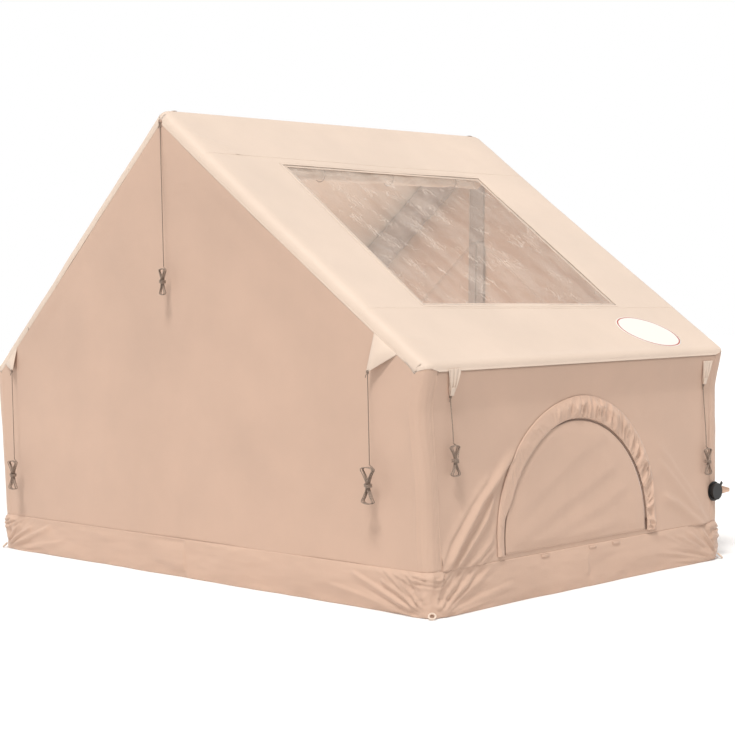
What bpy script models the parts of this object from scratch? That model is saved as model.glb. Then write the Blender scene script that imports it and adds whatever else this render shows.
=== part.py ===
"""Inflatable ridge tent, made of the sewn and welded pieces that it is put together from.

Two leaning air arches stand on a ground sheet and are held apart by a ridge beam and two eave
beams. Cloth panels wrap the arches. +Z is up, X runs across the gables and Y along the ridge.
The window with a cover that shows is on the +X side, and the door is in the +Y gable.
"""
import math

import bpy
import bmesh
import numpy as np

# Outer skin
BASE_WIDTH = 3.03
EAVE_WIDTH = 3.00
EAVE_HEIGHT = 0.919
RIDGE_HEIGHT = 2.085
BASE_DEPTH = 1.91
GABLE_LEAN_SHARE = 0.0413
EAVE_BEND = 0.045
RIDGE_BEND = 0.05
INNER_BEND = 0.012
SKIRT_HEIGHT = 0.176
CLOTH = 0.004
GAP = 0.0003
OVERRUN = 0.02

# Air tubes
ARCH_RADIUS = 0.075
BEAM_RADIUS = 0.055
GROUND_SHEET = 0.005
QUARTER_FACETS = 4
EAVE_STEPS = 4
RIDGE_STEPS = 3
BEAM_SIDES = 16
BEAM_TWIST_SHARE = 0.5

# Skylight in the +X roof, placed down the slope from the ridge
SKYLIGHT_TOP = 0.42
SKYLIGHT_LENGTH = 1.037
SKYLIGHT_WIDTH = 1.25
SKYLIGHT_SHIFT = 0.028
FILM = 0.002
BINDING_WIDTH = 0.045
BINDING = 0.0015
SHADE_RADIUS = 0.035
SHADE_DROP = 0.016
SHADE_OVERHANG = 0.012
TIE_WIDTH = 0.022
TIE = 0.0015
TIE_SEAM = 0.01
TIE_PLACE_SHARES = (0.16, 0.5, 0.84)
SHADE_SIDES = 14

# Side windows
WINDOW_RADIUS = 0.46
WINDOW_SHIFT = -0.065
WINDOW_BOTTOM = 0.195
WINDOW_SPRING = 0.24
WINDOW_REBATE = 0.02
WINDOW_STEPS = 18
COVER = 0.003
NET = 0.002
NET_SETBACK = 0.001
ZIP_WIDTH = 0.008
ZIP = 0.004
FLAP_RADIUS = 0.55
FLAP = 0.004
TOGGLE_PLACES = (-0.22, 0.09, 0.25)
TOGGLE_LENGTH = 0.05
TOGGLE_WIDTH = 0.012
TOGGLE = 0.004
TOGGLE_DROP = 0.006

# Zip sliders
SLIDER_LENGTH = 0.014
SLIDER_WIDTH = 0.0076
SLIDER = 0.004
PULL_LENGTH = 0.034
PULL_WIDTH = 0.005
PULL = 0.0015
PULL_OVERLAP = 0.001

# Door in the +Y gable
DOOR_HALF_WIDTH = 0.55
DOOR_SHOULDER = 1.12
DOOR_PEAK = 1.55
DOOR_BOTTOM = 0.182
DOOR_REBATE = 0.02
DOOR_BEND = 0.12
DOOR_BEND_STEPS = 4
DOOR_SLIDER_RISE = 0.06

# Air valve low on the +X and +Y corner, set back from the gable so that it meets the arch
VALVE_SETBACK = 0.043
VALVE_HEIGHT = 0.314
BOSS_RADIUS = 0.030
BOSS_DEPTH = 0.055
DISC_RADIUS = 0.045
DISC = 0.005
COLLAR_RADIUS = 0.034
COLLAR_HEIGHT = 0.012
BORE_RADIUS = 0.020
VALVE_RUNNING_GAP = 0.0005
PLUNGER_DISC = 0.003
PLUNGER_SETBACK = 0.003
STEM_RADIUS = 0.005
STEM_LENGTH = 0.009
CAP_WALL = 0.0035
CAP_TOP = 0.005
EAR_REACH = 0.012
EAR_WIDTH = 0.010
EAR_HEIGHT = 0.004
EAR_LIFT = 0.001
EAR_END = 0.0015
LUG_WIDTH = 0.004
LUG_REACH = 0.008
TONGUE_LENGTH = 0.020
TONGUE_WIDTH = 0.014
TONGUE = 0.003
VALVE_SIDES = 24
VALVE_FLAP_LENGTH = 0.10
VALVE_FLAP_HEIGHT = 0.075
VALVE_FLAP = 0.003
VALVE_FLAP_FACET_SHARE = 0.875
VALVE_FLAP_TIP_SHARE = 0.2
VALVE_FLAP_ANGLE = math.radians(32)

# Bare oval patch near the far eave of the +X roof
PATCH_ALONG = 0.375
PATCH_DOWN = 0.212
PATCH_SLOPE_PLACE = 1.68
PATCH_SETBACK = 0.243
PATCH = 0.0015
PATCH_SIDES = 32

# Pegging loops at the four ground corners
PEG_LOOP_LENGTH = 0.036
PEG_LOOP_WIDTH = 0.026
PEG_LOOP = 0.003
PEG_HOLE_RADIUS = 0.007
PEG_HOLE_SIDES = 10

# Sewn tabs and corner flaps that the ropes hang from
TAB = 0.004
TAB_TIP_WIDTH = 0.014
WALL_TAB_WIDTH = 0.072
WALL_TAB_LENGTH = 0.072
TAB_SEAM = 0.034
EAR = 0.003
EAR_FLARE = 0.13
EAR_OUT = 0.03
EAR_FACETS = (3, 3)
RIDGE_TAB_WIDTH = 0.026
RIDGE_TAB_FACETS = 2
RIDGE_TAB_TAIL = 0.014
RIDGE_TAB_LIFT = 0.0006

# Guy ropes
ROPE = 0.004
ROPE_STEP = 0.012
LAYER_PITCH = 0.0048
WAIST_HALF = 0.0028
WAIST_BACK_SHARE = 0.35
WRAPS = 3
WRAP_POINTS = 7
WRAP_PITCH = 0.0048
WRAP_CLEAR_OUT = 0.0026
WRAP_CLEAR_ACROSS = 0.004
WRAP_SQUARENESS = 0.7
HALF_LOOP_ANGLES = (0, 26, 52, 79, 101, 128, 154)
LAST_ANGLES_LEFT_OFF = 4
FLARE_SHARE = 3.08
HANK_SWAY_SHARE = 0.14
HANK_SWAY_RATE = 2.3
CLIMB_START_SHARE = 0.08
CLIMB_SHARE = 0.34
LEAD = 0.012
HANK_WALL_GAP = 0.0012

# Height, width and loops of a hank
SMALL_HANK = (0.122, 0.048, 3)
LARGE_HANK = (0.146, 0.060, 4)
RIDGE_HANK = (0.118, 0.040, 3)

# Each rope hangs from a face of the tent at one side or end. Its shares are its place along the
# face, the height of its tab's tip and the height of its hank's top. A wall rope's place follows
# half the depth, a gable rope's half the width. Heights follow the eave, or the ridge in the middle.
ROPE_SHARES = (
    ("right_rear", "wall", 1, -0.869, 0.92, 0.71, SMALL_HANK),
    ("right_front", "wall", 1, 0.90, 0.88, 0.57, SMALL_HANK),
    ("left_rear", "wall", -1, -0.869, 0.92, 0.65, SMALL_HANK),
    ("left_front", "wall", -1, 0.90, 0.88, 0.61, SMALL_HANK),
    ("rear_right", "gable", -1, 0.841, 1.028, 0.637, LARGE_HANK),
    ("rear_left", "gable", -1, -0.867, 0.996, 0.517, LARGE_HANK),
    ("front_right", "gable", 1, 0.867, 0.996, 0.337, SMALL_HANK),
    ("front_left", "gable", 1, -0.841, 1.028, 0.609, LARGE_HANK),
    ("rear_ridge", "ridge", -1, 0.0, 0.968, 0.667, RIDGE_HANK),
    ("front_ridge", "ridge", 1, 0.0, 0.968, 0.892, RIDGE_HANK),
)

PALE_CLOTH = (0.80, 0.64, 0.54)
ROOF_CLOTH = (0.87, 0.74, 0.65)
TUBE_GREY = (0.38, 0.35, 0.34)
ROPE_TAUPE = (0.42, 0.34, 0.27)
FILM_CLEAR = (0.80, 0.76, 0.72)
BLACK = (0.02, 0.02, 0.02)
NET_GREY = (0.12, 0.11, 0.11)
ZIP_BROWN = (0.45, 0.34, 0.28)
PATCH_WHITE = (0.88, 0.85, 0.80)


def clear_scene():
    for obj in list(bpy.data.objects):
        bpy.data.objects.remove(obj, do_unlink=True)


def material(name, color, roughness=0.8, metallic=0.0, alpha=1.0):
    if name in bpy.data.materials:
        return bpy.data.materials[name]
    made = bpy.data.materials.new(name)
    made.use_nodes = True
    shader = made.node_tree.nodes["Principled BSDF"]
    shader.inputs["Base Color"].default_value = (*color, 1.0)
    shader.inputs["Roughness"].default_value = roughness
    shader.inputs["Metallic"].default_value = metallic
    shader.inputs["Alpha"].default_value = alpha
    return made


CLOTH_LOOK = ("sand_cloth", PALE_CLOTH, 0.85)
ROOF_LOOK = ("roof_cloth", ROOF_CLOTH, 0.8)
TUBE_LOOK = ("air_tube", TUBE_GREY, 0.6)
ROPE_LOOK = ("guy_rope", ROPE_TAUPE, 0.9)
FILM_LOOK = ("clear_film", FILM_CLEAR, 0.15, 0.0, 0.35)
VALVE_LOOK = ("valve_plastic", BLACK, 0.45)
NET_LOOK = ("net", NET_GREY, 0.9)
ZIP_LOOK = ("zip_tape", ZIP_BROWN, 0.6)
PATCH_LOOK = ("patch", PATCH_WHITE, 0.7)


def finish_mesh(name, bm, look):
    """Close one solid's book-keeping: outward normals, its mesh, object and material."""
    bmesh.ops.recalc_face_normals(bm, faces=bm.faces)
    mesh = bpy.data.meshes.new(name)
    bm.to_mesh(mesh)
    bm.free()
    obj = bpy.data.objects.new(name, mesh)
    bpy.context.scene.collection.objects.link(obj)
    mesh.materials.append(material(*look))
    return obj


def unit(vector):
    vector = np.asarray(vector, float)
    return vector / np.linalg.norm(vector)


# The outline across the tent, on its +X half, as points (x, z)
FOOT = np.array((BASE_WIDTH / 2, 0.0))
EAVE = np.array((EAVE_WIDTH / 2, EAVE_HEIGHT))
RIDGE = np.array((0.0, RIDGE_HEIGHT))
WALL_UP = unit(EAVE - FOOT)
ROOF_UP = unit(RIDGE - EAVE)
WALL_IN = np.array((-WALL_UP[1], WALL_UP[0]))
ROOF_IN = np.array((-ROOF_UP[1], ROOF_UP[0]))
EAVE_TURN = math.acos(WALL_UP @ ROOF_UP)
RIDGE_HALF_TURN = math.acos(-ROOF_IN[1])
ROOF_LENGTH = float(np.linalg.norm(RIDGE - EAVE))

TUBE_NEAR = CLOTH + GAP
TUBE_FAR = TUBE_NEAR + 2 * ARCH_RADIUS
TUBE_INSET = TUBE_NEAR + ARCH_RADIUS
BEAM_INSET = TUBE_NEAR + BEAM_RADIUS


def turned_by(vector, angle):
    cosine = math.cos(angle)
    sine = math.sin(angle)
    return np.array((cosine * vector[0] - sine * vector[1], sine * vector[0] + cosine * vector[1]))


def wall_line(height):
    """Point on the wall at one height, as a function of its depth under the outer skin."""
    def at(depth):
        base = FOOT + WALL_IN * depth
        return base + WALL_UP * (height - base[1]) / WALL_UP[1]
    return at


def eave_corner(depth):
    return EAVE + (WALL_IN + ROOF_IN) * depth / (1 + math.cos(EAVE_TURN))


def eave_bend(step, lowered=0.0):
    """Point round the eave bend, from the wall at step 0 to the roof at the last step."""
    def at(depth):
        radius = max(EAVE_BEND - depth, INNER_BEND)
        centre = eave_corner(depth + radius)
        out = turned_by(-WALL_IN, EAVE_TURN * step / EAVE_STEPS)
        return centre + radius * out - WALL_UP * lowered
    return at


def ridge_bend(step, aside=0.0):
    """Point round the ridge bend, from the roof at step 0 to the middle of the ridge."""
    def at(depth):
        radius = max(RIDGE_BEND - depth, INNER_BEND)
        centre = np.array((0.0, RIDGE_HEIGHT - (depth + radius) / math.cos(RIDGE_HALF_TURN)))
        out = turned_by(-ROOF_IN, RIDGE_HALF_TURN * step / RIDGE_STEPS)
        return centre + radius * out + np.array((aside, 0.0))
    return at


def tube_middle(station):
    return (station(TUBE_NEAR) + station(TUBE_FAR)) / 2


def gable_y(height):
    """Distance of the gable's outer face from the middle of the tent."""
    return BASE_DEPTH / 2 + GABLE_LEAN_SHARE * height


def wrap_point(station, depth, reach, turn, end):
    """Point at one angle of the ring round the arch: turn 0 is outward, 90 degrees is endward."""
    middle = tube_middle(station)
    x, z = middle + math.cos(turn) * (station(depth) - middle)
    y = end * (gable_y(z) - TUBE_INSET + reach * math.sin(turn))
    return (x, y, z)


def quarter_turns():
    return [math.pi / 2 * step / QUARTER_FACETS for step in range(QUARTER_FACETS + 1)]


def hoop_row(station, depth, reach):
    """One row of a panel that wraps both arches, from the rear seam to the front seam."""
    rear = [wrap_point(station, depth, reach, turn, -1) for turn in reversed(quarter_turns())]
    front = [wrap_point(station, depth, reach, turn, 1) for turn in quarter_turns()]
    return rear + front


def strip_faces(bm, rows, closed):
    """Triangles between neighbouring rows of vertices, all with the same diagonal."""
    for lower, upper in zip(rows, rows[1:]):
        count = len(lower)
        for i in range(count if closed else count - 1):
            j = (i + 1) % count
            bm.faces.new((lower[i], lower[j], upper[j]))
            bm.faces.new((lower[i], upper[j], upper[i]))


def shell(name, outer, inner, look, closed=False):
    """Solid between two grids of points. Closed rows join end to end."""
    bm = bmesh.new()
    outer_rows = [[bm.verts.new(point) for point in row] for row in outer]
    inner_rows = [[bm.verts.new(point) for point in row] for row in inner]
    strip_faces(bm, outer_rows, closed)
    strip_faces(bm, inner_rows, closed)
    for first, second in ((outer_rows[0], inner_rows[0]), (outer_rows[-1], inner_rows[-1])):
        strip_faces(bm, [first, second], closed)
    if not closed:
        for side in (0, -1):
            first = [row[side] for row in outer_rows]
            second = [row[side] for row in inner_rows]
            strip_faces(bm, [first, second], False)
    return finish_mesh(name, bm, look)


def mirrored(points, sign):
    return [(sign * x, y, z) for x, y, z in points]


def hoop_panel(name, stations, side, look):
    outer_reach = ARCH_RADIUS + GAP + CLOTH
    outer = [mirrored(hoop_row(station, 0.0, outer_reach), side) for station in stations]
    inner = [mirrored(hoop_row(station, CLOTH, outer_reach - CLOTH), side) for station in stations]
    return shell(name, outer, inner, look)


class Face:
    """A flat face of the tent: across and up lie in it, and inward points into the tent."""

    def __init__(self, origin, across, up, inward):
        self.origin = np.asarray(origin, float)
        self.across = unit(across)
        self.up = unit(up)
        self.inward = unit(inward)

    def point(self, across, up, depth):
        place = self.origin + self.across * across + self.up * up + self.inward * depth
        return tuple(float(value) for value in place)


def in_space(vector, side):
    return (side * vector[0], 0.0, vector[1])


def wall_face(side):
    return Face((side * FOOT[0], 0.0, 0.0), (0.0, 1.0, 0.0), in_space(WALL_UP, side), in_space(WALL_IN, side))


def roof_face(side):
    """Up runs down the slope from the ridge, so that places read as distances from the ridge."""
    return Face((0.0, 0.0, RIDGE_HEIGHT), (0.0, 1.0, 0.0), in_space(-ROOF_UP, side), in_space(ROOF_IN, side))


def gable_face(end):
    up = (0.0, end * GABLE_LEAN_SHARE, 1.0)
    inward = (0.0, -end, GABLE_LEAN_SHARE)
    return Face((0.0, end * BASE_DEPTH / 2, 0.0), (1.0, 0.0, 0.0), up, inward)


def plate(name, face, outline, near, far, look):
    """Flat piece with one outline, between two depths under a face of the tent."""
    bm = bmesh.new()
    top = [bm.verts.new(face.point(a, u, near)) for a, u in outline]
    bottom = [bm.verts.new(face.point(a, u, far)) for a, u in outline]
    bm.faces.new(top)
    bm.faces.new(list(reversed(bottom)))
    for i in range(len(outline)):
        j = (i + 1) % len(outline)
        bm.faces.new((top[i], bottom[i], bottom[j], top[j]))
    return finish_mesh(name, bm, look)


def band(name, face, inner_line, outer_line, near, far, look, closed=False):
    """Flat strip between two lines of as many points, between two depths under a face."""
    near_rows = [[face.point(a, u, near) for a, u in line] for line in (inner_line, outer_line)]
    far_rows = [[face.point(a, u, far) for a, u in line] for line in (inner_line, outer_line)]
    return shell(name, near_rows, far_rows, look, closed)


def change_by(obj, other, operation):
    """Apply a Boolean with another object, which is then removed."""
    step = obj.modifiers.new("step", "BOOLEAN")
    step.operation = operation
    step.solver = "EXACT"
    step.object = other
    graph = bpy.context.evaluated_depsgraph_get()
    changed = bpy.data.meshes.new_from_object(obj.evaluated_get(graph))
    obj.modifiers.remove(step)
    old = obj.data
    obj.data = changed
    changed.name = old.name
    bpy.data.meshes.remove(old)
    bpy.data.objects.remove(other, do_unlink=True)


def cut(obj, cutter):
    change_by(obj, cutter, "DIFFERENCE")


def fuse(obj, other):
    change_by(obj, other, "UNION")


def box_outline(low_a, high_a, low_u, high_u):
    return [(low_a, low_u), (high_a, low_u), (high_a, high_u), (low_a, high_u)]


def ring_frame(axis):
    """Two directions square to an axis."""
    axis = unit(axis)
    helper = (0.0, 1.0, 0.0) if abs(axis[1]) < abs(axis[0]) else (1.0, 0.0, 0.0)
    first = unit(np.cross(helper, axis))
    return first, np.cross(axis, first)


def turned(name, origin, axis, profile, sides, look, hollow=False, twist_share=0.0):
    """Solid of revolution of (radius, height) points. A hollow one has a closed profile."""
    origin = np.asarray(origin, float)
    axis = unit(axis)
    first, second = ring_frame(axis)
    bm = bmesh.new()
    rings = []
    for radius, height in profile:
        ring = []
        for i in range(sides):
            angle = 2 * math.pi * (i + twist_share) / sides
            place = origin + axis * height + radius * (first * math.cos(angle) + second * math.sin(angle))
            ring.append(bm.verts.new(place))
        rings.append(ring)
    pairs = list(zip(rings, rings[1:]))
    if hollow:
        pairs.append((rings[-1], rings[0]))
    else:
        bm.faces.new(rings[0])
        bm.faces.new(rings[-1])
    for lower, upper in pairs:
        for i in range(sides):
            j = (i + 1) % sides
            bm.faces.new((lower[i], lower[j], upper[j], upper[i]))
    obj = finish_mesh(name, bm, look)
    obj.data.shade_smooth()
    obj.data.set_sharp_from_angle(angle=math.radians(40))
    return obj


def block(name, centre, axes, sizes, look):
    """Box with its own three directions."""
    centre = np.asarray(centre, float)
    bm = bmesh.new()
    made = bmesh.ops.create_cube(bm, size=1.0)
    for vert in made["verts"]:
        offset = sum(unit(axis) * size * share for axis, size, share in zip(axes, sizes, vert.co))
        vert.co = centre + offset
    return finish_mesh(name, bm, look)


def arch_rings(extra, end):
    """Rows of points round one arch, up the +X leg to the ridge and up the -X leg to the ridge."""
    foot = wall_line(GROUND_SHEET + GAP)
    stations = [foot]
    stations += [eave_bend(step) for step in range(EAVE_STEPS + 1)]
    stations += [ridge_bend(step) for step in range(RIDGE_STEPS + 1)]
    sides = 4 * QUARTER_FACETS
    rows = []
    for station in stations:
        row = []
        for i in range(sides):
            turn = 2 * math.pi * i / sides
            row.append(wrap_point(station, TUBE_NEAR - extra, ARCH_RADIUS + extra, end * turn, end))
        rows.append(row)
    return rows


def arch_tube(name, end, extra, look):
    """One arch as a closed tube. Extra widens it, for the cutters that clear it."""
    bm = bmesh.new()
    rows = arch_rings(extra, end)
    right = [[bm.verts.new(point) for point in row] for row in rows]
    left = [[bm.verts.new(point) for point in mirrored(row, -1)] for row in rows[:-1]]
    left.append(right[-1])
    for leg in (right, left):
        strip_faces(bm, leg, True)
        bm.faces.new(leg[0])
    obj = finish_mesh(name, bm, look)
    obj.data.shade_smooth()
    obj.data.set_sharp_from_angle(angle=math.radians(50))
    return obj


def beam(name, x, z, look):
    """Straight air beam along Y whose ends are shaped to the arches."""
    reach = gable_y(z) - TUBE_INSET
    profile = [(BEAM_RADIUS, -reach), (BEAM_RADIUS, reach)]
    along = (0.0, 1.0, 0.0)
    obj = turned(name, (x, 0.0, z), along, profile, BEAM_SIDES, look, twist_share=BEAM_TWIST_SHARE)
    for end in (-1, 1):
        cut(obj, arch_tube("arch_clearance", end, GAP, look))
    return obj


def make_air_frame():
    arch_tube("arch_rear", -1, 0.0, TUBE_LOOK)
    arch_tube("arch_front", 1, 0.0, TUBE_LOOK)
    ridge_z = RIDGE_HEIGHT - BEAM_INSET / math.cos(RIDGE_HALF_TURN)
    beam("ridge_beam", 0.0, ridge_z, TUBE_LOOK)
    eave_x, eave_z = eave_corner(BEAM_INSET)
    beam("eave_beam_right", eave_x, eave_z, TUBE_LOOK)
    beam("eave_beam_left", -eave_x, eave_z, TUBE_LOOK)


def ground_ring(height, depth, reach):
    """Closed row of points round the foot of the tent at one height."""
    station = wall_line(height)
    right = hoop_row(station, depth, reach)
    left = mirrored(right, -1)
    return right + list(reversed(left))


def make_ground():
    reach = ARCH_RADIUS + GAP + CLOTH
    heights = (0.0, SKIRT_HEIGHT)
    outer = [ground_ring(height, 0.0, reach) for height in heights]
    inner = [ground_ring(height, CLOTH, reach - CLOTH) for height in heights]
    skirt = shell("ground_skirt", outer, inner, CLOTH_LOOK, closed=True)
    bm = bmesh.new()
    bottom = [bm.verts.new(point) for point in ground_ring(0.0, TUBE_NEAR, ARCH_RADIUS)]
    top = [bm.verts.new((vert.co.x, vert.co.y, GROUND_SHEET)) for vert in bottom]
    bm.faces.new(bottom)
    bm.faces.new(top)
    strip_faces(bm, [bottom, top], True)
    finish_mesh("ground_sheet", bm, TUBE_LOOK)
    return skirt


def make_walls_and_roofs():
    wall_foot = wall_line(SKIRT_HEIGHT + GAP)
    wall_top = eave_bend(0, lowered=GAP)
    roof_stations = [eave_bend(step) for step in range(EAVE_STEPS + 1)]
    roof_stations += [ridge_bend(step) for step in range(RIDGE_STEPS)]
    roof_stations.append(ridge_bend(RIDGE_STEPS, aside=GAP / 2))
    panels = {}
    for side, word in ((1, "right"), (-1, "left")):
        panels["wall", side] = hoop_panel("side_wall_" + word, [wall_foot, wall_top], side, CLOTH_LOOK)
        panels["roof", side] = hoop_panel("roof_" + word, roof_stations, side, ROOF_LOOK)
    return panels


def gable_outline():
    """Seam line of a gable, in the middle of the arch, drawn in by the gap."""
    stations = [wall_line(SKIRT_HEIGHT + GAP)]
    stations += [eave_bend(step) for step in range(EAVE_STEPS + 1)]
    stations += [ridge_bend(step) for step in range(RIDGE_STEPS + 1)]
    right = []
    for station in stations:
        middle = tube_middle(station)
        inward = unit(station(TUBE_FAR) - station(TUBE_NEAR))
        right.append(middle + inward * GAP)
    left = [np.array((-x, z)) for x, z in reversed(right[:-1])]
    rise = math.hypot(1.0, GABLE_LEAN_SHARE)
    return [(x, z * rise) for x, z in right + left]


def door_outline(half_width, bottom, lowered):
    """Outline of the +X half of the door, from the foot of the zip round to its peak."""
    shoulder = np.array((half_width, DOOR_SHOULDER - lowered))
    peak = np.array((0.0, DOOR_PEAK - lowered))
    up = np.array((0.0, 1.0))
    slope = unit(peak - shoulder)
    turn = math.acos(up @ slope)
    tangent = DOOR_BEND * math.tan(turn / 2)
    centre = shoulder - up * tangent - np.array((DOOR_BEND, 0.0))
    points = [(0.0, bottom), (half_width, bottom)]
    for step in range(DOOR_BEND_STEPS + 1):
        out = turned_by((1.0, 0.0), turn * step / DOOR_BEND_STEPS)
        points.append(tuple(centre + DOOR_BEND * out))
    points.append(tuple(peak))
    return points


def both_halves(half):
    left = [(-a, u) for a, u in reversed(half) if a > GAP]
    return half[1:] + left


def clip_at(half, edge):
    """Door half with its middle edge moved out to one place, along the sloping top."""
    shoulder = half[-2]
    peak = half[-1]
    share = edge / shoulder[0]
    top = peak[1] + (shoulder[1] - peak[1]) * share
    return [(edge, half[0][1])] + half[1:-1] + [(edge, top)]


def make_gables():
    outline = gable_outline()
    plate("gable_rear", gable_face(-1), outline, 0.0, CLOTH, CLOTH_LOOK)
    front_face = gable_face(1)
    front = plate("gable_front", front_face, outline, 0.0, CLOTH, CLOTH_LOOK)
    opening = door_outline(DOOR_HALF_WIDTH - DOOR_REBATE, DOOR_BOTTOM + DOOR_REBATE, DOOR_REBATE)
    cutter = plate("cutter", front_face, both_halves(opening), -OVERRUN, OVERRUN, CLOTH_LOOK)
    cut(front, cutter)


def make_door():
    face = gable_face(1)
    near = -GAP - COVER
    half = door_outline(DOOR_HALF_WIDTH, DOOR_BOTTOM, 0.0)
    leaf = clip_at(half, ZIP_WIDTH + GAP)
    for side, word in ((1, "right"), (-1, "left")):
        plate("door_leaf_" + word, face, [(side * a, u) for a, u in leaf], near, -GAP, CLOTH_LOOK)
        top = clip_at(half, ZIP_WIDTH)[-1][1]
        low = side * GAP / 2
        high = side * ZIP_WIDTH
        track = box_outline(low, high, DOOR_BOTTOM, top)
        plate("door_zip_" + word, face, track, -GAP - ZIP, -GAP, ZIP_LOOK)
    tape_middle = (GAP / 2 + ZIP_WIDTH) / 2
    slider_up = DOOR_BOTTOM + DOOR_SLIDER_RISE
    pull_slider("door_slider", face, tape_middle, slider_up, -GAP - ZIP - GAP)


def pull_slider(name, face, across, up, near):
    """Zip slider and its pull, which hangs below it, on a track that ends at one depth."""
    width = SLIDER_WIDTH
    outline = box_outline(across - width / 2, across + width / 2, up - SLIDER_LENGTH / 2, up + SLIDER_LENGTH / 2)
    body = plate(name, face, outline, near - SLIDER, near, ZIP_LOOK)
    low = up - SLIDER_LENGTH / 2 - PULL_LENGTH
    pull = box_outline(across - PULL_WIDTH / 2, across + PULL_WIDTH / 2, low, up)
    middle = near - SLIDER / 2
    fuse(body, plate("pull", face, pull, middle - PULL, middle, ZIP_LOOK))
    return body


def window_arch(radius, bottom):
    """Round-topped line from the foot of one leg over to the other."""
    points = [(WINDOW_SHIFT + radius, bottom)]
    for step in range(WINDOW_STEPS + 1):
        angle = math.pi * step / WINDOW_STEPS
        across = WINDOW_SHIFT + radius * math.cos(angle)
        points.append((across, WINDOW_SPRING + radius * math.sin(angle)))
    points.append((WINDOW_SHIFT - radius, bottom))
    return points


def make_window(side, word, wall):
    face = wall_face(side)
    clear_radius = WINDOW_RADIUS - WINDOW_REBATE
    clear_bottom = WINDOW_BOTTOM + WINDOW_REBATE
    opening = window_arch(clear_radius, clear_bottom)
    cut(wall, plate("cutter", face, opening, -OVERRUN, OVERRUN, CLOTH_LOOK))
    net = window_arch(clear_radius - GAP, clear_bottom + GAP)
    plate("window_net_" + word, face, net, NET_SETBACK, NET_SETBACK + NET, NET_LOOK)
    cover = window_arch(WINDOW_RADIUS, WINDOW_BOTTOM)
    plate("window_cover_" + word, face, cover, -GAP - COVER, -GAP, CLOTH_LOOK)
    track_in = WINDOW_RADIUS + GAP
    track_out = track_in + ZIP_WIDTH
    inner = window_arch(track_in, WINDOW_BOTTOM)
    outer = window_arch(track_out, WINDOW_BOTTOM)
    band("window_zip_" + word, face, inner, outer, -GAP - ZIP, -GAP, ZIP_LOOK)
    inner = window_arch(track_out + GAP, WINDOW_BOTTOM)
    outer = window_arch(FLAP_RADIUS, WINDOW_BOTTOM)
    band("window_flap_" + word, face, inner, outer, -GAP - FLAP, -GAP, CLOTH_LOOK)
    track_middle = WINDOW_SHIFT + (track_in + track_out) / 2
    pull_slider("window_slider_" + word, face, track_middle, WINDOW_SPRING, -GAP - ZIP - GAP)


def add_toggles(skirt):
    """Toggles that hold a rolled window cover, sewn to the skirt under each window."""
    top = SKIRT_HEIGHT - TOGGLE_DROP
    for side in (1, -1):
        face = wall_face(side)
        for place in TOGGLE_PLACES:
            low = WINDOW_SHIFT + place - TOGGLE_LENGTH / 2
            outline = box_outline(low, low + TOGGLE_LENGTH, top - TOGGLE_WIDTH, top)
            fuse(skirt, plate("toggle", face, outline, -TOGGLE, CLOTH / 2, CLOTH_LOOK))


def make_skylight(roof):
    face = roof_face(1)
    bottom = SKYLIGHT_TOP + SKYLIGHT_LENGTH
    rear = SKYLIGHT_SHIFT - SKYLIGHT_WIDTH / 2
    front = SKYLIGHT_SHIFT + SKYLIGHT_WIDTH / 2
    opening = box_outline(rear, front, SKYLIGHT_TOP, bottom)
    cut(roof, plate("cutter", face, opening, -OVERRUN, OVERRUN, ROOF_LOOK))
    film = box_outline(rear + GAP, front - GAP, SKYLIGHT_TOP + GAP, bottom - GAP)
    plate("skylight_film", face, film, 0.0, FILM, FILM_LOOK)
    half = BINDING_WIDTH / 2
    inner = box_outline(rear + half, front - half, SKYLIGHT_TOP + half, bottom - half)
    outer = box_outline(rear - half, front + half, SKYLIGHT_TOP - half, bottom + half)
    binding_near = CLOTH + GAP
    binding_far = binding_near + BINDING
    binding = band("skylight_binding", face, inner, outer, binding_near, binding_far, ROOF_LOOK, closed=True)
    inner_radius = SHADE_RADIUS + GAP
    tie_radius = inner_radius + TIE
    depth = binding_far + GAP + tie_radius
    seam_end = depth - (inner_radius + tie_radius * math.cos(math.pi / SHADE_SIDES)) / 2
    along = SKYLIGHT_TOP + SHADE_DROP
    low = rear - SHADE_OVERHANG
    length = SKYLIGHT_WIDTH + 2 * SHADE_OVERHANG
    origin = face.point(low, along, depth)
    axis = (0.0, 1.0, 0.0)
    turned("shade_roll", origin, axis, [(SHADE_RADIUS, 0.0), (SHADE_RADIUS, length)], SHADE_SIDES, ROOF_LOOK)
    for share in TIE_PLACE_SHARES:
        start = length * share - TIE_WIDTH / 2
        stop = start + TIE_WIDTH
        profile = [(inner_radius, start), (tie_radius, start), (tie_radius, stop), (inner_radius, stop)]
        tie = turned("tie", origin, axis, profile, SHADE_SIDES, ROOF_LOOK, hollow=True)
        seam = box_outline(low + start + TIE, low + stop - TIE, along - TIE_SEAM / 2, along + TIE_SEAM / 2)
        fuse(tie, plate("seam", face, seam, binding_near + BINDING / 2, seam_end, ROOF_LOOK))
        fuse(binding, tie)


def make_patch():
    middle = BASE_DEPTH / 2 - PATCH_SETBACK
    outline = []
    for i in range(PATCH_SIDES):
        angle = 2 * math.pi * i / PATCH_SIDES
        across = middle + PATCH_ALONG / 2 * math.cos(angle)
        outline.append((across, PATCH_SLOPE_PLACE + PATCH_DOWN / 2 * math.sin(angle)))
    plate("label_patch", roof_face(1), outline, -GAP - PATCH, -GAP, PATCH_LOOK)


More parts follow.
